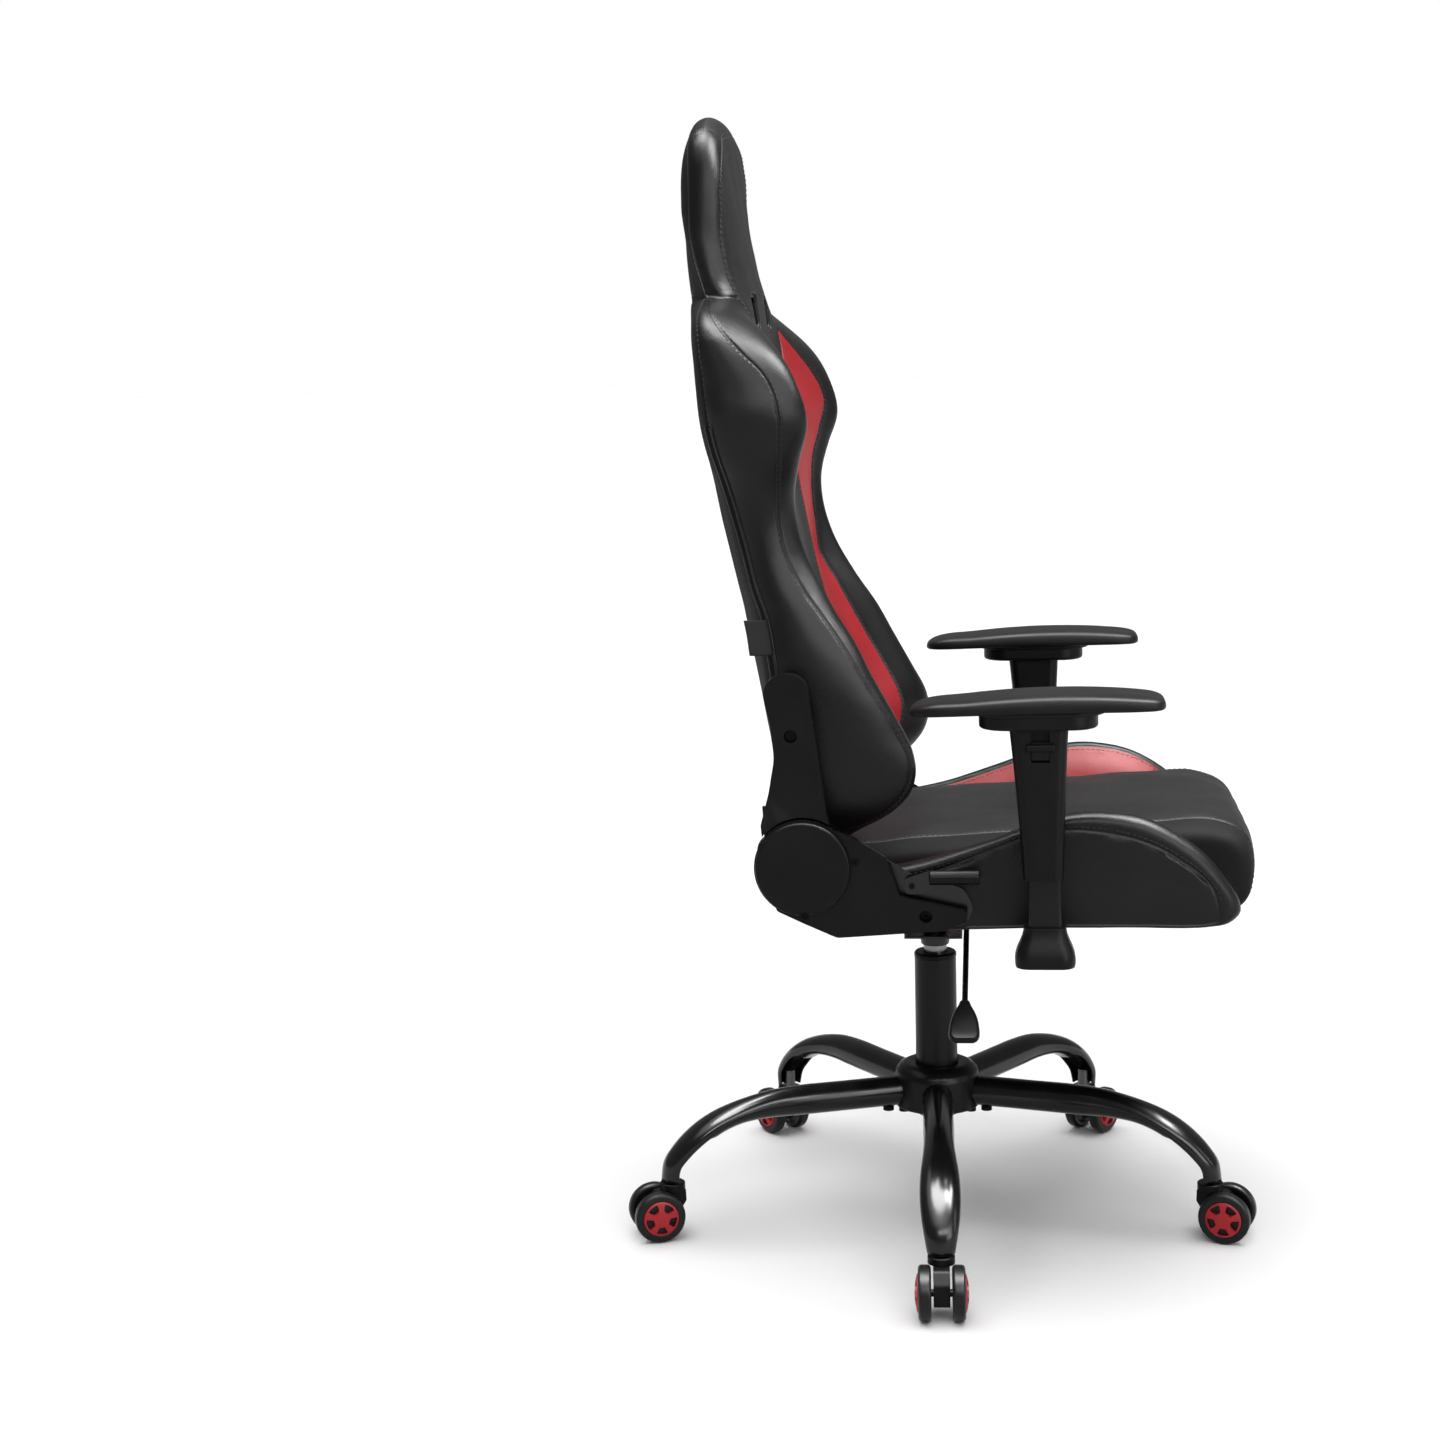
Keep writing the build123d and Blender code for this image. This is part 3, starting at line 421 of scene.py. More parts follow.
# PLASTIC, SOFT and WHEEL get their sharp edges painted lighter: a painted highlight along the edges
PLASTIC = hard("black_plastic", g(0.0022), g(0.0038), 0.36, scale=1100.0, strength=0.12, spec=0.085, painted_edge_highlight=g(0.009))
SOFT = hard("soft_black", g(0.0034), g(0.0060), 0.44, scale=1400.0, strength=0.25, spec=0.09, painted_edge_highlight=g(0.010))
WHEEL = hard("wheel_black", g(0.0030), g(0.0055), 0.36, scale=800.0, strength=0.08, spec=0.18, painted_edge_highlight=g(0.010))
RED_PLASTIC = hard("red_plastic", (0.27, 0.009, 0.014), (0.36, 0.013, 0.019), 0.42, scale=900.0, strength=0.08, spec=0.2)
STEEL = hard("steel", g(0.09), g(0.14), 0.33, scale=700.0, strength=0.05, metallic=1.0)
BRIGHT = hard("bright_steel", g(0.12), g(0.18), 0.24, scale=1200.0, strength=0.04, metallic=1.0)
BOLT = hard("black_bolts", g(0.0012), g(0.0024), 0.34, scale=1400.0, strength=0.1, spec=0.06)
WOVEN = woven("woven_tag", g(0.003), g(0.009))

SLOT_MATERIAL = {"black_steel": STEEL_BLACK, "steel": STEEL, "bright_steel": BRIGHT, "black_bolts": BOLT, "black_plastic": PLASTIC,
                 "wheel_black": WHEEL, "red_plastic": RED_PLASTIC, "black_leather": LEATHER, "red_leather": RED, "soft_black": SOFT}

# ------------------------------------------------------------------
# CAD pieces that keep their shape: softened edges and their finish
# ------------------------------------------------------------------
SLOT_OF = {entry["node"]: entry["material_slot"] for entry in frame["record"]["subparts"]}
BEVEL = {"recline_bases": 1.6, "recline_arms": 2.6, "pivot_caps": 2.2, "arm_sleeve_right": 1.6, "arm_sleeve_left": 1.6, "arm_boots": 1.4,
         "base_hub": 1.6, "recline_lever_grip": 1.0, "height_lever_paddle": 1.8, "strap_rims": 1.6}
for name, o in nodes.items():
    mat = SLOT_MATERIAL.get(SLOT_OF.get(name, ""), PLASTIC)
    if name in ("gas_lift_tube", "base_hub", "arm_posts"):
        mat = STEEL_SATIN
    o.data.materials.clear()
    o.data.materials.append(mat)
    o.data.polygons.foreach_set("use_smooth", np.full(len(o.data.polygons), True))
    w = o.modifiers.new("weld", "WELD")
    w.merge_threshold = 2e-5
    b = o.modifiers.new("bevel", "BEVEL")
    b.limit_method = "ANGLE"
    b.angle_limit = math.radians(32)
    b.width = BEVEL.get(name, 0.7) * MM
    b.segments = 2
    v = o.modifiers.new("normals", "WEIGHTED_NORMAL")
    v.keep_sharp = False
    v.weight = 90


def strays(o, limit):
    """True where the softened edges leave the piece's own surface."""
    dg = bpy.context.evaluated_depsgraph_get()
    e = o.evaluated_get(dg)
    me = e.to_mesh()
    tree = BVHTree.FromPolygons([v.co.copy() for v in o.data.vertices], [tuple(q.vertices) for q in o.data.polygons])
    bad = False
    for v in me.vertices:
        hit = tree.find_nearest(v.co, limit)
        if hit[0] is None:
            bad = True
            break
    e.to_mesh_clear()
    return bad


bpy.context.view_layer.update()
for name, o in nodes.items():
    b = o.modifiers["bevel"]
    for factor in (1.0, 0.5, 0.5):
        b.width = b.width * factor
        bpy.context.view_layer.update()
        if not strays(o, b.width * 0.75 + 0.00005):
            break
    else:
        o.modifiers.remove(b)

# ------------------------------------------------------------------
# Backrest cover: one sewn shell of panels, from hip wings to headrest
# ------------------------------------------------------------------
REAR = curve([(490, -162), (498, -165), (520, -173), (560, -182), (600, -190), (640, -197), (680, -204), (755, -220), (797, -229), (843, -239), (890, -247), (935, -255.5), (970, -259), (1050, -264),
              (1110, -271.5), (1160, -272.5), (1200, -270.5), (1250, -270.5)])
CENTRE = curve([(490, -114), (498, -112), (520, -106), (560, -100), (620, -106), (700, -124), (800, -147), (900, -166), (1000, -180), (1050, -186.5), (1080, -190),
                (1107, -193.6), (1121, -197.2), (1149, -202.6), (1176, -207.5), (1203, -212), (1230, -214.5), (1262, -215.5)])
Y_V = curve([(490, 94), (498, 96), (600, 97), (940, 95), (985, 104), (1020, 119), (1045, 128), (1060, 129.5), (1075, 124), (1104, 110), (1160, 100), (1240, 92)])
D_V = curve([(490, 4), (600, 4), (940, 5), (1020, 6), (1060, 3), (1085, -2), (1104, -6), (1160, -6), (1240, -4)])
Y_O = curve([(490, 146), (498, 150), (540, 160), (591, 168), (701, 172), (749, 168), (788, 166), (825, 166), (859, 166), (902, 175), (945, 197), (974, 207), (999, 200),
             (1028, 168), (1050, 141), (1062, 133), (1080, 130.5), (1104, 133.5), (1130, 135.3), (1160, 134), (1240, 129.5)])
X_O = curve([(490, -104), (498, -100), (520, -84), (545, -58), (591, -42), (650, -66), (701, -95), (749, -120), (788, -141), (825, -147), (859, -150), (902, -149), (945, -140),
             (974, -136), (999, -144), (1028, -160), (1062, -184), (1080, -193), (1092, -200), (1104, -206.5), (1116, -211.5), (1136, -216), (1154, -218.7), (1188, -220.5), (1245, -220), (1272, -221.5), (1301, -226)])
X_A = curve([(490, -96), (498, -88), (510, -70), (520, -52), (545, -23), (575, -11), (600, -14), (640, -34), (680, -55), (720, -75), (760, -101), (800, -123), (840, -136), (880, -140),
             (920, -132), (960, -122), (1000, -132), (1040, -156), (1070, -186), (1085, -204), (1096, -216), (1108, -224), (1120, -229.5), (1138, -234), (1156, -237), (1190, -238.4), (1240, -238.2)])
Y_A = curve([(490, 176), (498, 182), (510, 192), (560, 214), (640, 216), (700, 212), (760, 200), (820, 190), (880, 196), (930, 224), (970, 239), (1000, 241), (1020, 239), (1040, 231),
             (1056, 219), (1070, 202), (1085, 174), (1096, 151), (1108, 147.3), (1130, 145), (1160, 143.5), (1240, 138.5)])
X_S = curve([(490, -112), (498, -104), (510, -84), (520, -62), (545, -31), (575, -17), (600, -18), (621, -28), (665, -55), (709, -81), (748, -108), (786, -135), (824, -151), (850, -156),
             (889, -155), (933, -151), (971, -150), (999, -157), (1016, -167), (1038, -189), (1068, -216), (1086, -230), (1097, -235), (1108, -238), (1120, -242), (1138, -247.5), (1160, -250.5), (1240, -250.5)])
Y_S = curve([(490, 190), (498, 196), (510, 206), (560, 229), (640, 234), (700, 232), (760, 221), (820, 212), (880, 218), (930, 246), (970, 259), (1000, 257.5), (1020, 256), (1040, 252.5), (1056, 246),
             (1068, 236), (1078, 221), (1086, 201), (1092, 179), (1097, 151), (1108, 145.5), (1130, 142.8), (1160, 141.3), (1240, 136.5)])
Y_M = curve([(490, 204), (498, 210), (510, 219), (560, 240), (640, 243), (700, 239), (760, 227), (820, 217), (880, 223), (930, 251), (970, 264), (1000, 262), (1020, 260), (1040, 256), (1056, 249), (1068, 238.5),
             (1078, 222.5), (1086, 201.5), (1092, 179), (1097, 151), (1108, 144.5), (1130, 140.8), (1160, 139), (1240, 134.5)])
X_B = curve([(490, -146), (498, -148), (510, -150), (550, -154), (600, -156), (650, -160), (700, -166), (752, -175), (779, -184), (833, -198), (887, -211), (955, -226), (988, -229.5), (1025, -233.5),
             (1052, -237), (1073, -238.5), (1084, -238.5), (1095, -238.5), (1104, -241), (1115, -245), (1133, -251), (1160, -255.5), (1190, -256.3), (1240, -256.3), (1272, -257.5), (1301, -256)])
Y_B = curve([(490, 184), (498, 190), (510, 202), (560, 224), (640, 228), (700, 226), (760, 214), (820, 204), (880, 210), (930, 238), (970, 251), (1000, 250), (1020, 249), (1040, 246), (1056, 240), (1068, 230.5),
             (1078, 215), (1086, 195), (1092, 173), (1097, 145), (1108, 139), (1130, 136), (1160, 134.3), (1240, 129.5)])
REAR_HEAD = curve([(1150, -267.5), (1301, -267.5)])
TOP_BASE = 1150.0
SEGMENTS = [(8, 0, 0), (14, 0, 1), (24, 1, 1), (18, 1, 0), (16, 0, 1), (14, 1, 0), (14, 0, 1), (16, 1, 0), (10, 0, 0)]
I_C, I_c1, I_V, I_O, I_A, I_S, I_M, I_B, I_r1, I_R = np.concatenate([[0], np.cumsum([s[0] for s in SEGMENTS])])
HALF = int(I_R)
N = 2 * HALF


def spread(length, n, a, b):
    f = np.linspace(0, 1, n + 1)
    near = [0.0, 1.1, 2.6, 5.5]
    lo, hi = 0, n
    if a:
        for k in (1, 2, 3):
            f[k] = min(f[k], near[k] / max(length, 1e-6))
        lo = 3
    if b:
        for k in (1, 2, 3):
            f[n - k] = max(f[n - k], 1 - near[k] / max(length, 1e-6))
        hi = n - 3
    f[lo:hi + 1] = np.linspace(f[lo], f[hi], hi - lo + 1)
    return f


def back_keys(z):
    c, r = CENTRE(z), REAR(z)
    xs, xb = X_S(z), X_B(z)
    return np.array([(c, 0), (c - 0.6, 0.55 * Y_V(z)), (c + D_V(z), Y_V(z)), (X_O(z), Y_O(z)), (X_A(z), Y_A(z)), (xs, Y_S(z)),
                     (0.5 * (xs + xb), Y_M(z)), (xb, Y_B(z)), (r + 0.36 * (xb - r), 0.6 * Y_B(z)), (r, 0)], float)


def half_loop(z):
    k = back_keys(z)
    ext = np.vstack([[k[1][0], -k[1][1]], k, [k[-2][0], -k[-2][1]]])
    out = []
    for s, (n, a, b) in enumerate(SEGMENTS):
        fine = catmull(ext[s], ext[s + 1], ext[s + 2], ext[s + 3], 40)
        out.append(along(fine, spread(length_of(fine), n, a, b))[:-1])
    out.append(k[-1:])
    return np.concatenate(out)


NECK_SEAM = 1097.0
zs = sorted(set(np.round(np.concatenate([np.arange(500.0, TOP_BASE, 3.2), NECK_SEAM + np.array([-5.5, -2.6, -1.1, 0, 1.1, 2.6, 5.5])]), 2)))
zs = [z for z in zs if not (0.05 < abs(z - NECK_SEAM) < 5.4 and round(abs(z - NECK_SEAM), 1) not in (1.1, 2.6))]
# the headrest: front and rear panels joined by a crowned band that runs round its outline
outline = open_curve([(146, 1100), (145, 1130), (143.5, 1160), (141.5, 1200), (139.5, 1230), (135, 1250), (126, 1268), (110, 1283), (88, 1293), (60, 1298.5), (30, 1301), (0, 1301.5)], 1400)
outline = outline[outline[:, 1] >= TOP_BASE]
tang = np.gradient(outline, axis=0)
tang /= np.linalg.norm(tang, axis=1, keepdims=True)
inward = np.column_stack([-tang[:, 1], tang[:, 0]])
ease = np.clip((outline[:, 1] - 1215) / 60, 0, 1)
ease = ease * ease * (3 - 2 * ease)
INSETS = []
for deep in (11.5, 4.0):
    q = outline + inward * (9.5 + deep * ease)[:, None]
    q[-1, 0] = 0.0
    INSETS.append(q)
arc = np.concatenate([[0], np.cumsum(np.linalg.norm(np.diff(outline, axis=0), axis=1))])
S_C = float(arc[int(np.argmin(np.abs(np.degrees(np.arctan2(-tang[:, 0], tang[:, 1])) - 47.0)))])
S_1, S_2, S_END = S_C - 11.0, S_C + 11.0, float(arc[-1])


def at(table, s):
    return np.stack([np.interp(s, arc, table[:, k]) for k in range(2)], axis=-1)


base_loop = half_loop(TOP_BASE)
n_side, n_roll = 44, 20
row_t = spread(150.0, n_side, 0, 1)
roll_b = np.sin(np.radians(88.0 * spread(24.0, n_roll, 1, 0)))[1:]
front_u = base_loop[:I_O + 1, 1] / base_loop[I_O, 1]
front_a = np.sin(np.radians(90.0 * spread(22.0, int(I_A - I_O), 1, 0)))
rear_a = np.sin(np.radians(90.0 * spread(22.0, int(I_B - I_A), 1, 0)))[::-1]
rear_u = base_loop[I_B:, 1] / base_loop[I_B, 1]
# the grid's place on the outline: the side takes the rows, the top takes the columns
COL_U = np.concatenate([front_u, np.ones(int(I_B - I_O) - 1), rear_u])
COL_A = np.concatenate([np.zeros(int(I_O)), front_a, rear_a[1:], np.zeros(HALF - int(I_B))])


def panel(inset, u, t, edge_y):
    """Flat place of a panel point: u from the middle to the seam, t from the neck to the top seam."""
    base = np.column_stack([u * edge_y, np.full(len(u), TOP_BASE)])
    top = at(inset, S_END + (S_C - S_END) * u)
    side = at(inset, np.full(len(u), S_C * t))
    mid = np.column_stack([np.zeros(len(u)), np.full(len(u), TOP_BASE + (inset[-1, 1] - TOP_BASE) * t)])
    b1 = at(inset, np.zeros(1))[0]
    c = (1 - t) * ((1 - u)[:, None] * np.array([0, TOP_BASE]) + u[:, None] * b1) + t * ((1 - u)[:, None] * inset[-1] + u[:, None] * at(inset, np.array([S_C]))[0])
    return (1 - t) * base + t * top + (1 - u)[:, None] * mid + u[:, None] * side - c


def crown(inset, p, reach):
    d = np.array([np.min(np.hypot(inset[::6, 0] - q[0], inset[::6, 1] - q[1])) for q in p])
    f = np.clip(d / reach, 0, 1)
    return 1 - (1 - f) ** 2


def head_row(t, b):
    """One ring of the headrest; t runs up the side, b from the top seam to the ridge."""
    front = np.arange(HALF + 1) <= I_A
    yz = np.zeros((HALF + 1, 2))
    across = np.zeros(HALF + 1)
    for inset, side in zip(INSETS, (front, ~front)):
        flat_part = side & (COL_A == 0)
        band = side & (COL_A > 0)
        if b == 0:
            yz[flat_part] = panel(inset, COL_U[flat_part], t, at(inset, np.zeros(1))[0][0])
            a = COL_A[band][:, None]
            yz[band] = (1 - a) * at(inset, np.full(len(a), S_C * t)) + a * at(outline, np.full(len(a), S_1 * t))
            across[band] = COL_A[band]
        else:
            u = COL_U[flat_part]
            yz[flat_part] = (1 - b) * at(inset, S_END + (S_C - S_END) * u) + b * at(outline, S_END + (S_2 - S_END) * u)
            across[flat_part] = b
            a = COL_A[band]
            m = np.maximum(a, b)
            out = np.where(a >= b, S_C - (1 - b / np.maximum(a, 1e-6)) * (S_C - S_1), S_C + (1 - a / b) * (S_2 - S_C))
            yz[band] = (1 - m)[:, None] * at(inset, np.full(len(a), S_C)) + m[:, None] * at(outline, out)
            across[band] = m
    z = yz[:, 1]
    xo, xb = X_O(z), X_B(z)
    mid, half = 0.5 * (xo + xb), 0.5 * (xo - xb)
    x = mid + np.where(front, 1.0, -1.0) * half * np.sqrt(np.maximum(1 - across ** 2, 0))
    if b == 0:
        for inset, sel, goal, reach in ((INSETS[0], (COL_A == 0) & front, CENTRE, 85.0), (INSETS[1], (COL_A == 0) & ~front, REAR_HEAD, 32.0)):
            q = yz[sel]
            x[sel] += (goal(np.minimum(q[:, 1], 1262)) - x[sel]) * crown(inset, q, reach)
    return np.column_stack([x, yz])


rows = [("low", f) for f in (0.25, 0.6, 0.85)] + [("z", z) for z in zs] + [("side", t) for t in row_t[1:]] + [("roll", b) for b in roll_b]
rings = []
row_z = []
for kind, v in rows:
    if kind == "z":
        h = half_loop(v)
        pts = np.column_stack([h, np.full(len(h), v)])
        row_z.append(v)
    elif kind == "low":
        h = half_loop(500.0)
        pts = np.column_stack([-128 + (h[:, 0] + 128) * v, h[:, 1] * (0.96 + 0.04 * v), np.full(len(h), 500.0 - 7.0 * (1 - v) ** 1.5)])
        row_z.append(500.0 - 7 * (1 - v))
    elif kind == "side":
        pts = head_row(v, 0)
        e = min(v / 0.35, 1.0)
        e = e * e * (3 - 2 * e)
        h = half_loop(min(TOP_BASE + 150 * v, 1240.0))
        pts[:, :2] = pts[:, :2] * e + h * (1 - e)
        row_z.append(TOP_BASE + 130 * v)
    else:
        pts = head_row(1.0, v)
        row_z.append(TOP_BASE + 130 + 20 * v)
    other = pts[1:-1][::-1] * np.array([1, -1, 1])
    rings.append(np.vstack([pts, other]))
top_row = len(rows) - len(roll_b) - 1
rings = np.array(rings)
row_z = np.array(row_z)
M = len(rings)
nrm = outward(rings, ring_normals(rings))
cols = np.arange(N)
mirror_col = np.where(cols <= HALF, cols, N - cols)
move = np.zeros((M, N))
GROOVE = {0: -1.5, 1: -0.55, 2: 0.15, 3: 0.08}
TIP_Z = 1060.0
RED_LOW = 512.0
neck_row = int(np.argmin(np.abs(row_z - NECK_SEAM)))
for i in range(M):
    z = row_z[i]
    for col, lo, hi in ((I_V, RED_LOW - 10, TIP_Z), (I_O, 470, row_z[top_row]), (I_S, 470, NECK_SEAM), (I_B, 470, row_z[top_row])):
        if lo <= z <= hi + 0.01:
            for d, depth in GROOVE.items():
                for s in ((-1, 1) if d else (1,)):
                    move[i, mirror_col == col + s * d] += depth
for d, depth in GROOVE.items():
    for s in ((-1, 1) if d else (1,)):
        if d < 3:
            move[top_row + s * d, (mirror_col < I_O) | (mirror_col > I_B)] += depth
            move[neck_row + s * d, (mirror_col > I_O) & (mirror_col < I_B)] += depth
flat = rings.reshape(-1, 3)
# gathers along the seams and a little unevenness of the foam
near = np.zeros((M, N))
for col, w in ((I_O, 1.0), (I_S, 1.0), (I_B, 0.6)):
    near = np.maximum(near, w * np.exp(-((mirror_col[None, :] - col) / 5.0) ** 2))
pucker = wave(flat * np.array([0.4, 0.4, 1.0]), 17.0, 3).reshape(M, N) * near * 0.28
uneven = wave(flat, 90.0, 5).reshape(M, N) * 0.7
rings = rings + nrm * (move + pucker + uneven)[:, :, None]
faces = [tuple(f) for f in grid_faces(M, N)]
mats = []
for i in range(M - 1):
    z = 0.5 * (row_z[i] + row_z[i + 1])
    for j in range(N):
        c = min(mirror_col[j], mirror_col[(j + 1) % N])
        if I_V <= c < I_O and RED_LOW < z < TIP_Z:
            mats.append(1)
        elif c < I_O:
            mats.append(2)
        elif c >= I_B:
            mats.append(3)
        else:
            mats.append(0)
front_idx = list(range(N - int(I_M), N)) + list(range(0, int(I_M) + 1))
rear_idx = list(range(int(I_M), N - int(I_M) + 1))[::-1]
for base in (0, (M - 1) * N):
    closing = ladder([base + q for q in front_idx], [base + q for q in rear_idx])
    faces += closing
    mats += [0] * len(closing)
back = mesh_object("back_cover", rings.reshape(-1, 3), faces, [LEATHER, RED, MATTE, DULL], mats)


def cut(obj, cutter):
    m = obj.modifiers.new("cut", "BOOLEAN")
    m.operation = "DIFFERENCE"
    m.solver = "EXACT"
    m.object = cutter
    dg = bpy.context.evaluated_depsgraph_get()
    me = bpy.data.meshes.new_from_object(obj.evaluated_get(dg))
    obj.modifiers.clear()
    old = obj.data
    obj.data = me
    bpy.data.meshes.remove(old)
    bpy.data.objects.remove(cutter)


def rounded_rect(w, h, r, n=8):
    pts = []
    for cx, cy, a0 in ((w / 2 - r, h / 2 - r, 0), (-w / 2 + r, h / 2 - r, 90), (-w / 2 + r, -h / 2 + r, 180), (w / 2 - r, -h / 2 + r, 270)):
        for k in range(n + 1):
            a = math.radians(a0 + 90 * k / n)
            pts.append((cx + r * math.cos(a), cy + r * math.sin(a)))
    return np.array(pts)


rim_low, rim_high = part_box("strap_rims")
rim_w = 51.0
rim_h = (rim_high.z - rim_low.z) * 1000
for s in (-1, 1):
    rr = rounded_rect(rim_w - 0.8, rim_h - 0.8, 10.0)
    loop0 = np.column_stack([np.full(len(rr), -330.0), rr[:, 0] + 60 * s, rr[:, 1] + 500 * (rim_high.z + rim_low.z)])
    loop1 = loop0 + np.array([260.0, 0, 0])
    n = len(rr)
    cutter = mesh_object("cutter", np.vstack([loop0, loop1]), [tuple(f) for f in grid_faces(2, n)] + [tuple(range(n))[::-1], tuple(range(n, 2 * n))], [], smooth=False)
    bpy.context.view_layer.update()
    cut(back, cutter)
back.data.polygons.foreach_set("use_smooth", np.full(len(back.data.polygons), True))
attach(back, "backrest")
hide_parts("back_pad", "back_wing_right", "back_wing_left", "neck_pads", "headrest")

heap = Heap()


def col_path(col, lo, hi, sign):
    sel = np.where((row_z >= lo) & (row_z <= hi))[0]
    j = col if sign > 0 else (N - col) % N
    return rings[sel, j], nrm[sel, j]


for s in (-1, 1):
    for col, lo, hi in ((I_S + 2, 512, NECK_SEAM - 6), (I_S - 2, 512, NECK_SEAM - 6), (I_V - 2, RED_LOW, TIP_Z)):
        p, q = col_path(col, lo, hi, s)
        stitches(heap, p, q)
    for seam, d, last in ((I_O, 2, 0), (I_O, -2, 0), (I_B, -2, HALF)):
        col, row = int(seam + d), top_row + (2 if (d > 0) == (seam == I_O) else -2)
        ups = np.where((row_z >= 512) & (np.arange(M) <= row))[0]
        overs = np.arange(col, last, -1 if last == 0 else 1)
        jj = np.concatenate([np.full(len(ups), col), overs[1:]])
        ii = np.concatenate([ups, np.full(len(overs) - 1, row)])
        jj = jj if s > 0 else (N - jj) % N
        stitches(heap, rings[ii, jj], nrm[ii, jj])
    cs = np.arange(I_O + 2, I_B - 1)
    js = cs if s > 0 else (N - cs) % N
    for d in (-2, 2):
        stitches(heap, rings[neck_row + d, js], nrm[neck_row + d, js])
back_thread = heap.build("back_stitching", [THREAD])
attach(back_thread, "backrest")

# zip under two lips along the rear side seam, with its pull
heap = Heap()
for s in (-1, 1):
    for off, r in ((3, 1.5), (-3, 1.5)):
        p, q = col_path(I_B + off, 560, 962, s)
        v, f = tube(p + q * 0.5, r, 8, 0.7, q)
        heap.add(v, f, 0)
    p, q = col_path(I_B, 560, 962, s)
    fine = along(p, np.linspace(0, 1, 320))
    fq = along(q, np.linspace(0, 1, 320))
    for k in range(0, 318, 2):
        t = fine[k + 1] - fine[k]
        t /= np.linalg.norm(t)
        u = np.cross(fq[k], t)
        c = fine[k] + fq[k] * 0.7
        box = [c + t * a + u * b2 + fq[k] * d2 for a in (-0.45, 0.45) for b2 in (-1.5, 1.5) for d2 in (-0.4, 0.4)]
        heap.add(box, [(0, 1, 3, 2), (4, 6, 7, 5), (0, 4, 5, 1), (2, 3, 7, 6), (0, 2, 6, 4), (1, 5, 7, 3)], 1)
    c, w = p[2] + q[2] * 1.6, q[2]
    t = (p[6] - p[0]) / np.linalg.norm(p[6] - p[0])
    u = np.cross(w, t)
    slider = rounded_rect(6.0, 10.0, 2.5, 4)
    loops = [np.array([c + u * a * k + t * b2 * k + w * h2 for a, b2 in slider]) for k, h2 in ((1.0, -1.6), (1.0, 0.6), (0.8, 1.4))]
    n = len(slider)
    heap.add(np.concatenate(loops), [tuple(f) for f in grid_faces(3, n)] + [tuple(range(n))[::-1], tuple(range(2 * n, 3 * n))], 1)
zipper = heap.build("back_zips", [LEATHER, BOLT])
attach(zipper, "backrest")

# plain woven tag sewn into the rear seam of the right side
p1, q1 = col_path(I_B, 706, 747, -1)
TAG_ROWS, TAG_COLS = 20, 14
w1 = along(p1, np.linspace(0, 1, TAG_ROWS))
tag_rings = []
for k in range(TAG_ROWS):
    t = np.linspace(-2.0, 25.0, TAG_COLS)
    bow = 0.7 * np.sin((t + 2.0) / 27.0 * 4.2 + k * 0.10)
    tag_rings.append(np.column_stack([w1[k, 0] - t, w1[k, 1] - 1.6 + 0.10 * np.maximum(t, 0) - bow, np.full(TAG_COLS, w1[k, 2]) - 0.02 * t]))
tag = mesh_object("back_tag", np.array(tag_rings).reshape(-1, 3), [tuple(f) for f in grid_faces(TAG_ROWS, TAG_COLS, closed=False)], [WOVEN])
sol = tag.modifiers.new("thick", "SOLIDIFY")
sol.thickness = 0.7 * MM
sol.offset = 0
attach(tag, "backrest")

# ------------------------------------------------------------------
# Seat: boxed cushion and two bolsters
# ------------------------------------------------------------------
def inset_ring(loop, mid, d):
    """Loop moved in by d towards its middle line, eased where there is little room."""
    v = mid - loop
    ln = np.maximum(np.linalg.norm(v, axis=1, keepdims=True), 1e-6)
    f = d / ln
    f = np.where(f < 0.6, f, 0.6 + 0.4 * (1 - np.exp(-(f - 0.6) / 0.4)))
    return loop + v * f


def toward(loop, mid, start, f):
    a = inset_ring(loop, mid, start)
    return a + (mid - a) * f


def middle_line(loop, x0, x1):
    """For each point, the nearest point of the loop's own middle line."""
    n = len(loop)
    xs = np.linspace(loop[:, 0].min() + 2, loop[:, 0].max() - 2, 60)
    hi, lo = [], []
    for x in xs:
        zc = []
        for k in range(n):
            a, b = loop[k], loop[(k + 1) % n]
            if (a[0] - x) * (b[0] - x) <= 0 and a[0] != b[0]:
                zc.append(a[1] + (b[1] - a[1]) * (x - a[0]) / (b[0] - a[0]))
        hi.append(max(zc))
        lo.append(min(zc))
    mz = 0.5 * (np.array(hi) + np.array(lo))
    px = np.clip(loop[:, 0], x0, x1)
    return np.column_stack([px, np.interp(px, xs, mz)])


def w_side(w):
    return w > 227.0


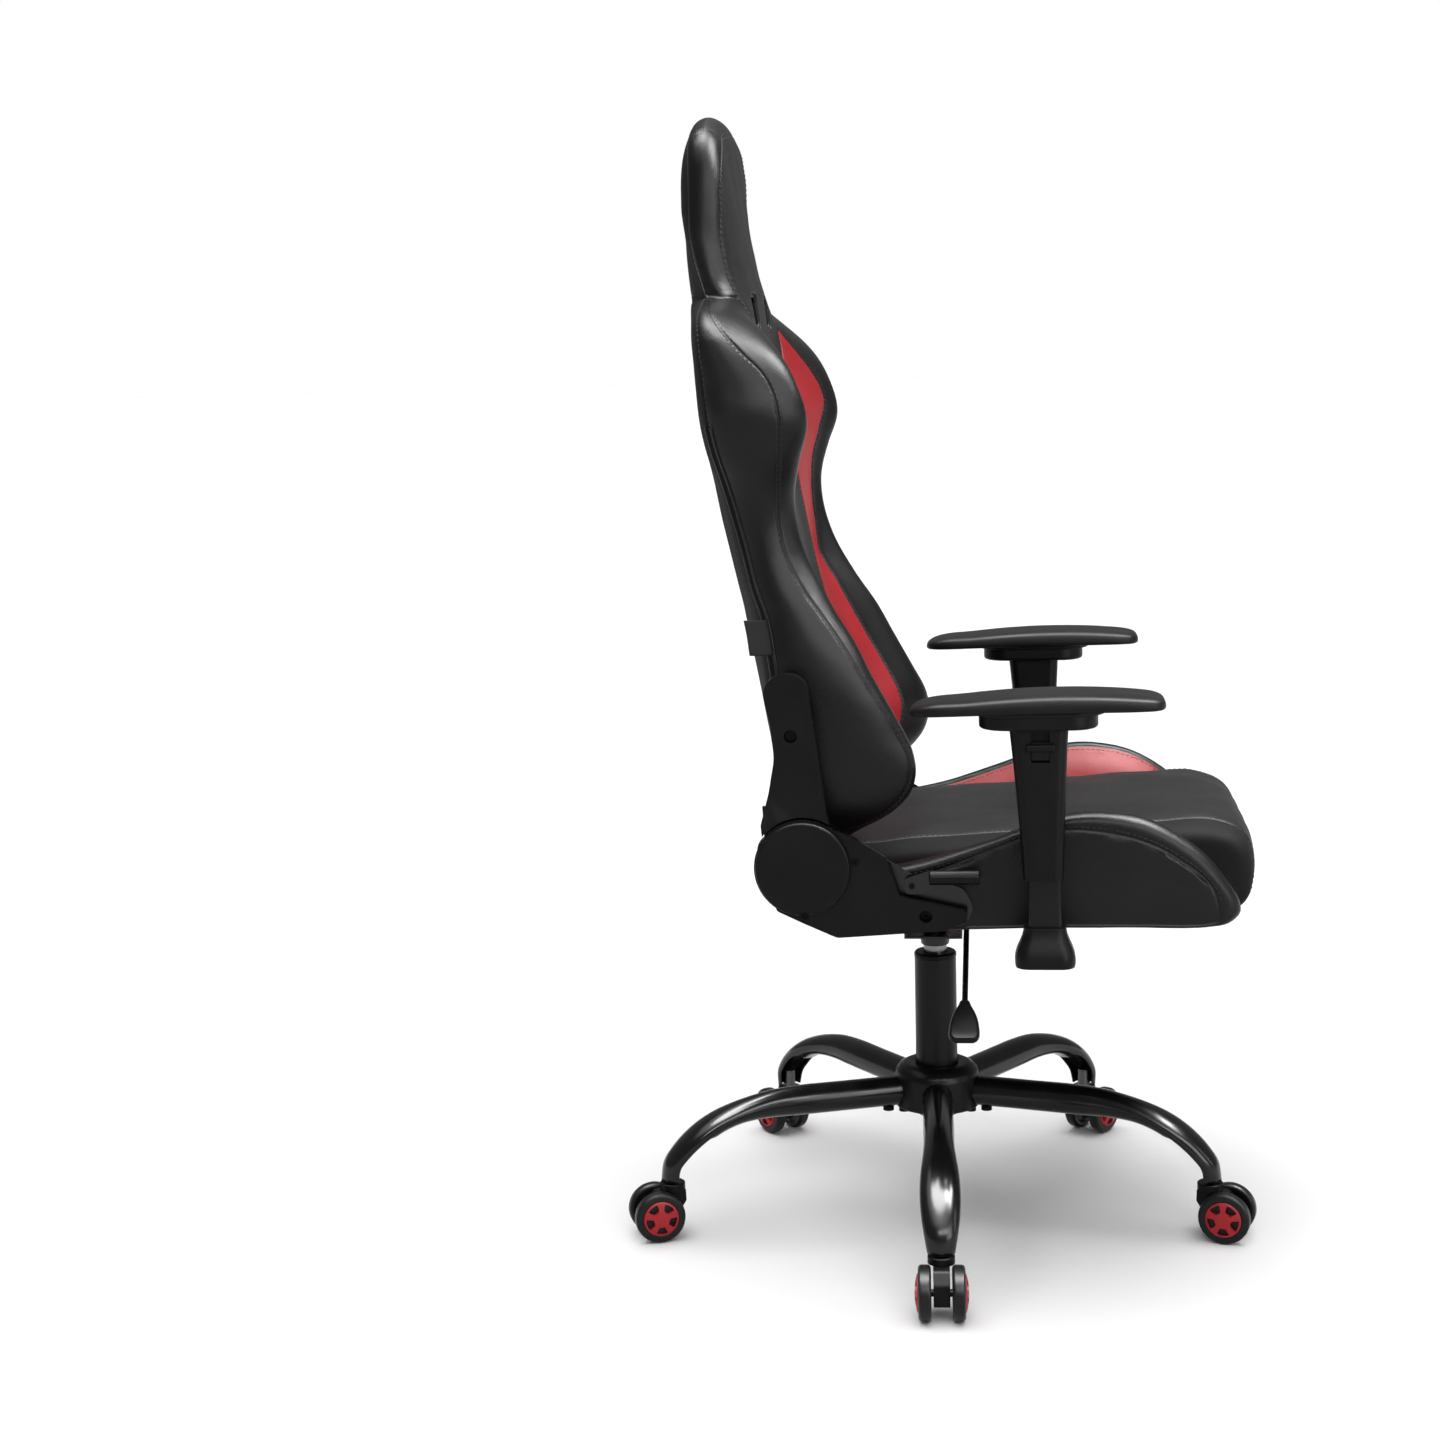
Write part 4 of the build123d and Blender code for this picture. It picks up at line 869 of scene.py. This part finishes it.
def pillow(name, loop, mid, stations, place, materials, mat_of, groove=(), uneven=0.5, seed=1, thread=None, rows_thread=(), sewn=None, inset=None):
    """A sewn cushion: rings of one outline, moved in by each station's d (or on to the middle line by f) and placed across by w."""
    rings = []
    for d, f, w in stations:
        r = inset(d) if inset and w_side(w) else inset_ring(loop, mid, d)
        if f:
            r = r + (mid - r) * f
        rings.append(place(r, w))
    rings = np.array(rings)
    nr = ring_normals(rings)
    centre = rings.reshape(-1, 3).mean(axis=0)
    sgn = np.sign(np.sum((rings - centre) * nr, axis=2).mean())
    nr = nr * sgn
    mv = np.zeros(rings.shape[:2])
    share = np.ones(len(loop)) if sewn is None else sewn
    for k in groove:
        mv[k] -= 1.4 * share
        mv[k - 1] -= 0.35 * share
        mv[k + 1] -= 0.35 * share
    mv += wave(rings.reshape(-1, 3), 80.0, seed).reshape(mv.shape) * uneven
    for k in groove:
        for dd in (-2, 2):
            mv[k + dd] += wave(rings[k + dd], 16.0, seed + 7) * 0.25 * share
    edge = np.array([0.0 if f >= 0.999 else 1.0 for d, f, w in stations])[:, None]
    rings = rings + nr * (mv * edge)[:, :, None]
    m, n = rings.shape[:2]
    f = [tuple(q) for q in grid_faces(m, n)]
    mt = [mat_of(i, j) for i in range(m - 1) for j in range(n)]
    o = mesh_object(name, rings.reshape(-1, 3), f, materials, mt)
    if thread is not None:
        shown = np.where(share > 0.5)[0]
        whole = len(shown) == len(share)
        if not whole:
            turn = int(np.argmax(np.diff(np.concatenate([shown, [shown[0] + len(share)]])))) + 1
            shown = np.roll(shown, -turn)
        for k in rows_thread:
            line, way = rings[k][shown], nr[k][shown]
            stitches(thread, np.vstack([line, line[:1]]) if whole else line, np.vstack([way, way[:1]]) if whole else way)
    return o, rings, nr


seat_heap = Heap()
pad_points = [(-149, 440), (-147, 464), (-136, 478), (-118, 483), (-70, 487), (0, 493), (68, 497), (150, 503), (230, 509), (287, 512), (318, 510.5), (340.5, 503), (355, 489), (362, 468),
              (363, 446), (358, 424), (346, 410), (322, 405), (230, 404.5), (100, 404.5), (-60, 404.5), (-122, 405.5), (-142, 418)]
pad_loop = closed_curve(pad_points, 260)
pad_mid = middle_line(pad_loop, -100, 310)
PAD_Y = 187.6
side_st = [(22, 1.0, PAD_Y - 1.2), (22, 0.8, PAD_Y - 0.2), (22, 0.55, PAD_Y), (22, 0.3, PAD_Y), (22, 0.12, PAD_Y - 0.2), (20, 0, PAD_Y - 0.4), (16, 0, PAD_Y - 1.6), (12.5, 0, PAD_Y - 4.0), (9.6, 0, PAD_Y - 8.0),
           (7.4, 0, PAD_Y - 13.0), (5.8, 0, PAD_Y - 19.0), (4.6, 0, PAD_Y - 25.0), (3.7, 0, PAD_Y - 30.0), (3.4, 0, PAD_Y - 31.8), (3.2, 0, PAD_Y - 32.9), (3.0, 0, PAD_Y - 34.0), (2.8, 0, PAD_Y - 35.1), (2.6, 0, PAD_Y - 36.2),
           (2.1, 0, PAD_Y - 39.0), (1.3, 0, PAD_Y - 45.0), (0.5, 0, PAD_Y - 54.0), (0.1, 0, PAD_Y - 66.0), (0, 0, PAD_Y - 80.0)]
stations = [(d, f, -w) for d, f, w in side_st] + [(0, 0, w) for w in np.linspace(-(PAD_Y - 80), PAD_Y - 80, 48)[1:-1]] + [(d, f, w) for d, f, w in reversed(side_st)]


def place_pad(r, w):
    k = 1 - (w / PAD_Y) ** 2
    up = np.clip((r[:, 1] - 470) / 30, 0, 1)
    fr = np.clip((r[:, 0] - 330) / 25, 0, 1)
    return np.column_stack([r[:, 0] + 2.5 * k * fr, np.full(len(r), w), r[:, 1] + 4.5 * k * up])


g0 = 15
pad, pad_rings, _ = pillow("seat_cushion", pad_loop, pad_mid, stations, place_pad, [MATTE, DULL],
                           lambda i, j: 1 if (i < g0 or i >= len(stations) - 1 - g0) else 0, groove=(g0, len(stations) - 1 - g0), uneven=0.8, seed=11,
                           thread=seat_heap, rows_thread=(g0 + 2, len(stations) - 3 - g0))
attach(pad, "seat")
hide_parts("seat_pad")

# outline of the crowned band, and the seam line that it is sewn to
bol_pairs = [((-128, 430), (-121, 430)), ((-127, 452), (-118, 443)), ((-112, 465), (-104, 451)), ((-72, 470.5), (-66, 456)), ((-30, 476), (-24, 464)), ((3, 483), (8, 471.5)), ((36, 492.5), (40, 483)),
             ((80, 507.5), (80, 499)), ((104, 516.5), (101, 507)), ((136, 527.5), (130, 514.5)), ((167, 533), (160, 516.8)), ((199, 533), (188, 514.4)), ((235, 526.5), (218, 508.5)), ((270, 509.5), (248, 497.6)),
             ((304, 483), (277, 481)), ((325, 456), (297, 466)), ((337.5, 434), (310, 449)), ((338.5, 421), (315, 431)), ((327, 410), (315.5, 416)), ((306, 406), (304, 411)), ((240, 405), (240, 410)), ((160, 405), (160, 410)),
             ((100, 404), (100, 409)), ((14, 402.5), (14, 407.5)), ((-52, 402.5), (-52, 407.5)), ((-110, 405), (-106, 410)), ((-125, 414), (-119, 417))]


def paired(points_a, points_b, n):
    """Two closed curves through matching points, point for point."""
    out = []
    for p in (np.array(points_a, float), np.array(points_b, float)):
        k = len(p)
        out.append(np.concatenate([catmull(p[i - 1], p[i], p[(i + 1) % k], p[(i + 2) % k], 40)[:-1] for i in range(k)]))
    s = np.concatenate([[0], np.cumsum(np.linalg.norm(np.diff(np.vstack([out[0], out[0][:1]]), axis=0), axis=1))])
    at_s = np.linspace(0, s[-1], n + 1)[:-1]
    return [np.stack([np.interp(at_s, s, np.append(q[:, c], q[0, c])) for c in range(2)], axis=1) for q in out]


bol_loop, bol_seam = paired([a for a, b in bol_pairs], [b for a, b in bol_pairs], 280)
bol_mid = middle_line(bol_loop, -95, 270)


def bol_inset(d):
    if d <= 20:
        return bol_loop + (bol_seam - bol_loop) * (d / 20.0)
    return inset_ring(bol_seam, bol_mid, d - 20)


bol_sewn = np.clip((bol_loop[:, 1] - 416) / 14, 0, 1)
bol_sewn = bol_sewn * bol_sewn * (3 - 2 * bol_sewn)
bol_st = [(20, 1.0, 240.6), (20, 0.75, 241.0), (20, 0.5, 241.2), (20, 0.28, 241.2), (20, 0.12, 241.0), (24.5, 0, 240.8), (22.2, 0, 240.6), (20.8, 0, 240.7), (19.4, 0, 240.9), (17.0, 0, 241.4), (13.5, 0, 241.5),
          (10, 0, 241.1), (7, 0, 239.9), (4.4, 0, 237.8), (2.2, 0, 234.8), (0.8, 0, 231.3), (0, 0, 227.5), (0.4, 0, 224.0), (1.5, 0, 221.2), (3.0, 0, 219.2), (4.2, 0, 218.1), (5.4, 0, 217.2), (7.5, 0, 215.8),
          (11, 0, 213.2), (16, 0, 209.2), (22, 0, 204.6), (29, 0, 200.0), (37, 0, 195.8), (46, 0, 192.2), (46, 0.25, 190.2), (46, 0.55, 189.2), (46, 0.8, 188.8), (46, 1.0, 188.8)]
G_OUT, G_IN = 7, 20
for s, side in ((-1, "right"), (1, "left")):
    bol, bol_rings, _ = pillow("seat_bolster_" + side, bol_loop, bol_mid, bol_st, lambda r, w: np.column_stack([r[:, 0], np.full(len(r), s * w), r[:, 1]]), [LEATHER, RED],
                               lambda i, j: 1 if i >= G_IN else 0, groove=(G_OUT, G_IN), uneven=0.35, seed=17, thread=seat_heap, rows_thread=(G_OUT + 2, G_OUT - 2, G_IN + 2), sewn=bol_sewn, inset=bol_inset)
    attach(bol, "seat")
    if s < 0:
        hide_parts("seat_bolsters")
seat_thread = seat_heap.build("seat_stitching", [THREAD])
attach(seat_thread, "seat")

# ------------------------------------------------------------------
# Arm pads: moulded soft tops on a plate
# ------------------------------------------------------------------
ARM_Y = 279.0
Z_TOP = curve([(-16, 659.0), (-8, 661.8), (50, 668.8), (110, 673.3), (160, 674.3), (220, 671.8), (247, 669.0), (256, 667.6)])
Z_LOW = curve([(-16, 650.8), (0, 651.3), (60, 653.6), (122, 655.2), (220, 655.9), (256, 656.2)])
arm_plan = [(-14.5, 0), (-13.9, 15), (-9.5, 27), (4, 35.5), (46, 42.5), (100, 45), (150, 45), (202, 44), (232, 41.5), (247.5, 36), (253.6, 25), (255, 11), (255, 0),
            (255, -11), (253.6, -25), (247.5, -36), (232, -41.5), (202, -44), (150, -45), (100, -45), (46, -42.5), (4, -35.5), (-9.5, -27), (-13.9, -15)]
arm_loop = closed_curve(arm_plan, 220)
arm_mid = np.column_stack([np.clip(arm_loop[:, 0], 34, 212), np.zeros(len(arm_loop))])
arm_st = [(9, 1.0, 0.0), (9, 0.6, 0.0), (9, 0.2, 0.0), (6.0, 0, 0.0), (3.0, 0, 0.01), (1.5, 0, 0.035), (0.6, 0, 0.09), (0.15, 0, 0.17), (0.0, 0, 0.30), (0.2, 0, 0.46), (0.6, 0, 0.60), (1.4, 0, 0.72), (2.9, 0, 0.825), (5.2, 0, 0.90),
          (8.6, 0, 0.95), (13.0, 0, 0.978), (20, 0, 0.995), (20, 0.3, 1.005), (20, 0.65, 1.012), (20, 1.0, 1.015)]
for s, side in ((-1, "right"), (1, "left")):
    rings_a = []
    for d, f, w in arm_st:
        r = inset_ring(arm_loop, arm_mid, d)
        r = r + (arm_mid - r) * f
        lo, hi = Z_LOW(r[:, 0]), Z_TOP(r[:, 0])
        rings_a.append(np.column_stack([r[:, 0], s * (ARM_Y + r[:, 1]), lo + (hi - lo) * w]))
    rings_a = np.array(rings_a)
    h = Heap()
    h.add(rings_a.reshape(-1, 3), [tuple(q) for q in grid_faces(len(arm_st), len(arm_loop))])
    rr = rounded_rect(140.0, 70.0, 33.0, 12)
    plate = []
    for k, z in ((0.965, 650.3), (0.99, 650.8), (1.0, 651.8), (1.0, 657.0)):
        plate.append(np.column_stack([122 + rr[:, 0] * k, s * (ARM_Y + rr[:, 1] * k), np.full(len(rr), z)]))
    n = len(rr)
    h.add(np.concatenate(plate), [tuple(q) for q in grid_faces(4, n)] + [tuple(range(n))[::-1], tuple(range(3 * n, 4 * n))])
    top = h.build("arm_top_" + side, [SOFT])
    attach(top, "arm_" + side)
    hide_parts("arm_pad_" + side)

# ------------------------------------------------------------------
# Base legs: pressed tube that opens to a channel towards the foot
# ------------------------------------------------------------------
STEM_RADIUS = 331.5
LEG_ROWS = np.array([(31, 149.8, 0, 35.5, 35.5), (120, 149.8, 0, 35.5, 35.5), (180, 149.8, 0.5, 35.3, 35.2), (205, 149.0, 4, 34.5, 32.5), (230, 146.0, 9, 36.0, 28.5), (252, 141.3, 16, 39.5, 25.6), (271, 134.6, 23.5, 43, 24.8),
                     (288, 125.6, 33, 45, 25), (304, 114.2, 44, 44.8, 24.6), (318, 100.8, 57, 42, 24.6), (328.8, 86, 72, 37, 25), (STEM_RADIUS, 68, 90, 31, 26)])
dist = np.concatenate([[0], np.cumsum(np.hypot(np.diff(LEG_ROWS[:, 0]), np.diff(LEG_ROWS[:, 1])))])
leg_fun = [curve(list(zip(dist, LEG_ROWS[:, k]))) for k in range(5)]
h = Heap()
NL = 36
for k in range(5):
    a0 = math.radians(-87.77 + 72 * k)
    ca, sa = math.cos(a0), math.sin(a0)
    leg_rings = []
    for t in np.concatenate([np.linspace(0, dist[2], 8)[:-1], np.linspace(dist[2], dist[-1], 52)]):
        r, z, sl, w, th = (float(fn(t)) for fn in leg_fun)
        sl = math.radians(sl)
        open_ = float(np.clip((math.degrees(sl) - 30) / 16, 0, 1))
        open_ = open_ * open_ * (3 - 2 * open_)
        ang_out = np.radians(np.linspace(-112, 112, NL))
        ang_in = np.radians(np.linspace(112, 248, NL + 2)[1:-1])
        outer = np.column_stack([np.sin(ang_out) * w / 2, np.cos(ang_out) * th / 2])
        rest = np.column_stack([np.sin(ang_in) * w / 2, np.cos(ang_in) * th / 2])
        back_ang = np.radians(np.linspace(112, -112, NL + 2)[1:-1])
        inner = np.column_stack([np.sin(back_ang) * (w / 2 - 2.4), np.cos(back_ang) * (th / 2 - 2.4)])
        sec = np.vstack([outer, rest * (1 - open_) + inner * open_])
        up = (math.sin(sl), math.cos(sl))
        rad = r + sec[:, 1] * up[0]
        zz = z + sec[:, 1] * up[1]
        tt = sec[:, 0]
        leg_rings.append(np.column_stack([rad * ca - tt * sa, rad * sa + tt * ca, zz]))
    leg_rings = np.array(leg_rings)
    m, n = leg_rings.shape[:2]
    f = [tuple(q) for q in grid_faces(m, n)]
    f.append(tuple(range(n))[::-1])
    last = (m - 1) * n
    f += ladder([last + q for q in range(NL)], [last + q for q in list(range(NL, n))[::-1]])
    h.add(leg_rings.reshape(-1, 3), f)
legs = h.build("base_leg_pressings", [STEEL_BLACK])
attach(legs, "base")
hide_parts("base_legs")

# ------------------------------------------------------------------
# Camera, floor and light
# ------------------------------------------------------------------
cam_data = bpy.data.cameras.new("camera")
cam_data.lens = 60.05
cam_data.sensor_width = 36.0
cam_data.clip_end = 200.0
cam = bpy.data.objects.new("camera", cam_data)
scene.collection.objects.link(cam)
RT = Vector((0.99265476, 0.11778596, -0.02762229))
UP = Vector((0.00887037, 0.1568447, 0.98758344))
FW = Vector((-0.12065588, 0.98057443, -0.15464783))
rot = Matrix((RT, UP, -FW)).transposed().to_4x4()
rot.translation = Vector((0.09412, -2.82062, 1.04664))
cam.matrix_world = rot
scene.camera = cam

floor_m, nt, b = new_material("floor")
co = nt.nodes.new("ShaderNodeTexCoord").outputs["Object"]
fn = tex(nt, "ShaderNodeTexNoise", 3.0, co, Detail=4.0)
nt.links.new(ramp(nt, fn.outputs["Fac"], [(0.3, (0.79, 0.79, 0.79)), (0.7, (0.81, 0.81, 0.81))]), b.inputs["Base Color"])
b.inputs["Roughness"].default_value = 0.85
b.inputs["Specular IOR Level"].default_value = 0.1
R_F = 60.0
fl = bpy.data.meshes.new("floor")
fl.from_pydata([(-R_F, -R_F, -0.0005), (R_F, -R_F, -0.0005), (R_F, R_F, -0.0005), (-R_F, R_F, -0.0005)], [], [(0, 1, 2, 3)])
fl.materials.append(floor_m)
floor = bpy.data.objects.new("floor", fl)
scene.collection.objects.link(floor)

world = bpy.data.worlds.new("studio")
scene.world = world
world.use_nodes = True
wn = world.node_tree
bg = wn.nodes["Background"]
bg.inputs["Color"].default_value = (1.0, 1.0, 1.0, 1.0)
ray = wn.nodes.new("ShaderNodeLightPath")
seen = wn.nodes.new("ShaderNodeMapRange")
seen.inputs["To Min"].default_value = 0.28
seen.inputs["To Max"].default_value = 1.0
wn.links.new(ray.outputs["Is Camera Ray"], seen.inputs["Value"])
wn.links.new(seen.outputs["Result"], bg.inputs["Strength"])


def area(name, loc, target, size, power, size_y=None):
    d = bpy.data.lights.new(name, "AREA")
    d.energy = power
    d.size = size
    if size_y:
        d.shape = "RECTANGLE"
        d.size_y = size_y
    o = bpy.data.objects.new(name, d)
    scene.collection.objects.link(o)
    o.location = loc
    o.rotation_euler = (Vector(target) - Vector(loc)).to_track_quat("-Z", "Y").to_euler()
    return o


def overhead(name, energy, angle, shade=True):
    data = bpy.data.lights.new(name, "SUN")
    data.energy = energy
    data.angle = math.radians(angle)
    o = bpy.data.objects.new(name, data)
    scene.collection.objects.link(o)
    o.rotation_euler = Vector((0.03, 0.05, -1.0)).to_track_quat("-Z", "Y").to_euler()
    o.visible_diffuse = shade


overhead("overhead", 3.6, 75)
overhead("overhead_gloss", 16.0, 44, shade=False)
area("key", (0.66, -2.89, 2.03), (-0.2, -0.1, 1.15), 2.4, 28.0, 0.8)
area("key_gloss", (0.60, -2.80, 2.00), (-0.2, -0.1, 1.15), 2.2, 52.0, 0.8).visible_diffuse = False
area("side_gloss", (1.95, -2.10, 1.30), (-0.2, -0.1, 1.15), 1.3, 60.0, 1.9).visible_diffuse = False
area("roll_gloss", (1.15, -0.25, 2.60), (-0.2, -0.2, 1.05), 1.2, 230.0, 1.0).visible_diffuse = False
area("rim_front", (2.9, -0.5, 1.2), (0.1, 0.0, 0.5), 0.4, 10.0, 1.6)
scene.view_settings.view_transform = "Standard"
scene.view_settings.look = "None"
scene.view_settings.exposure = 0.0
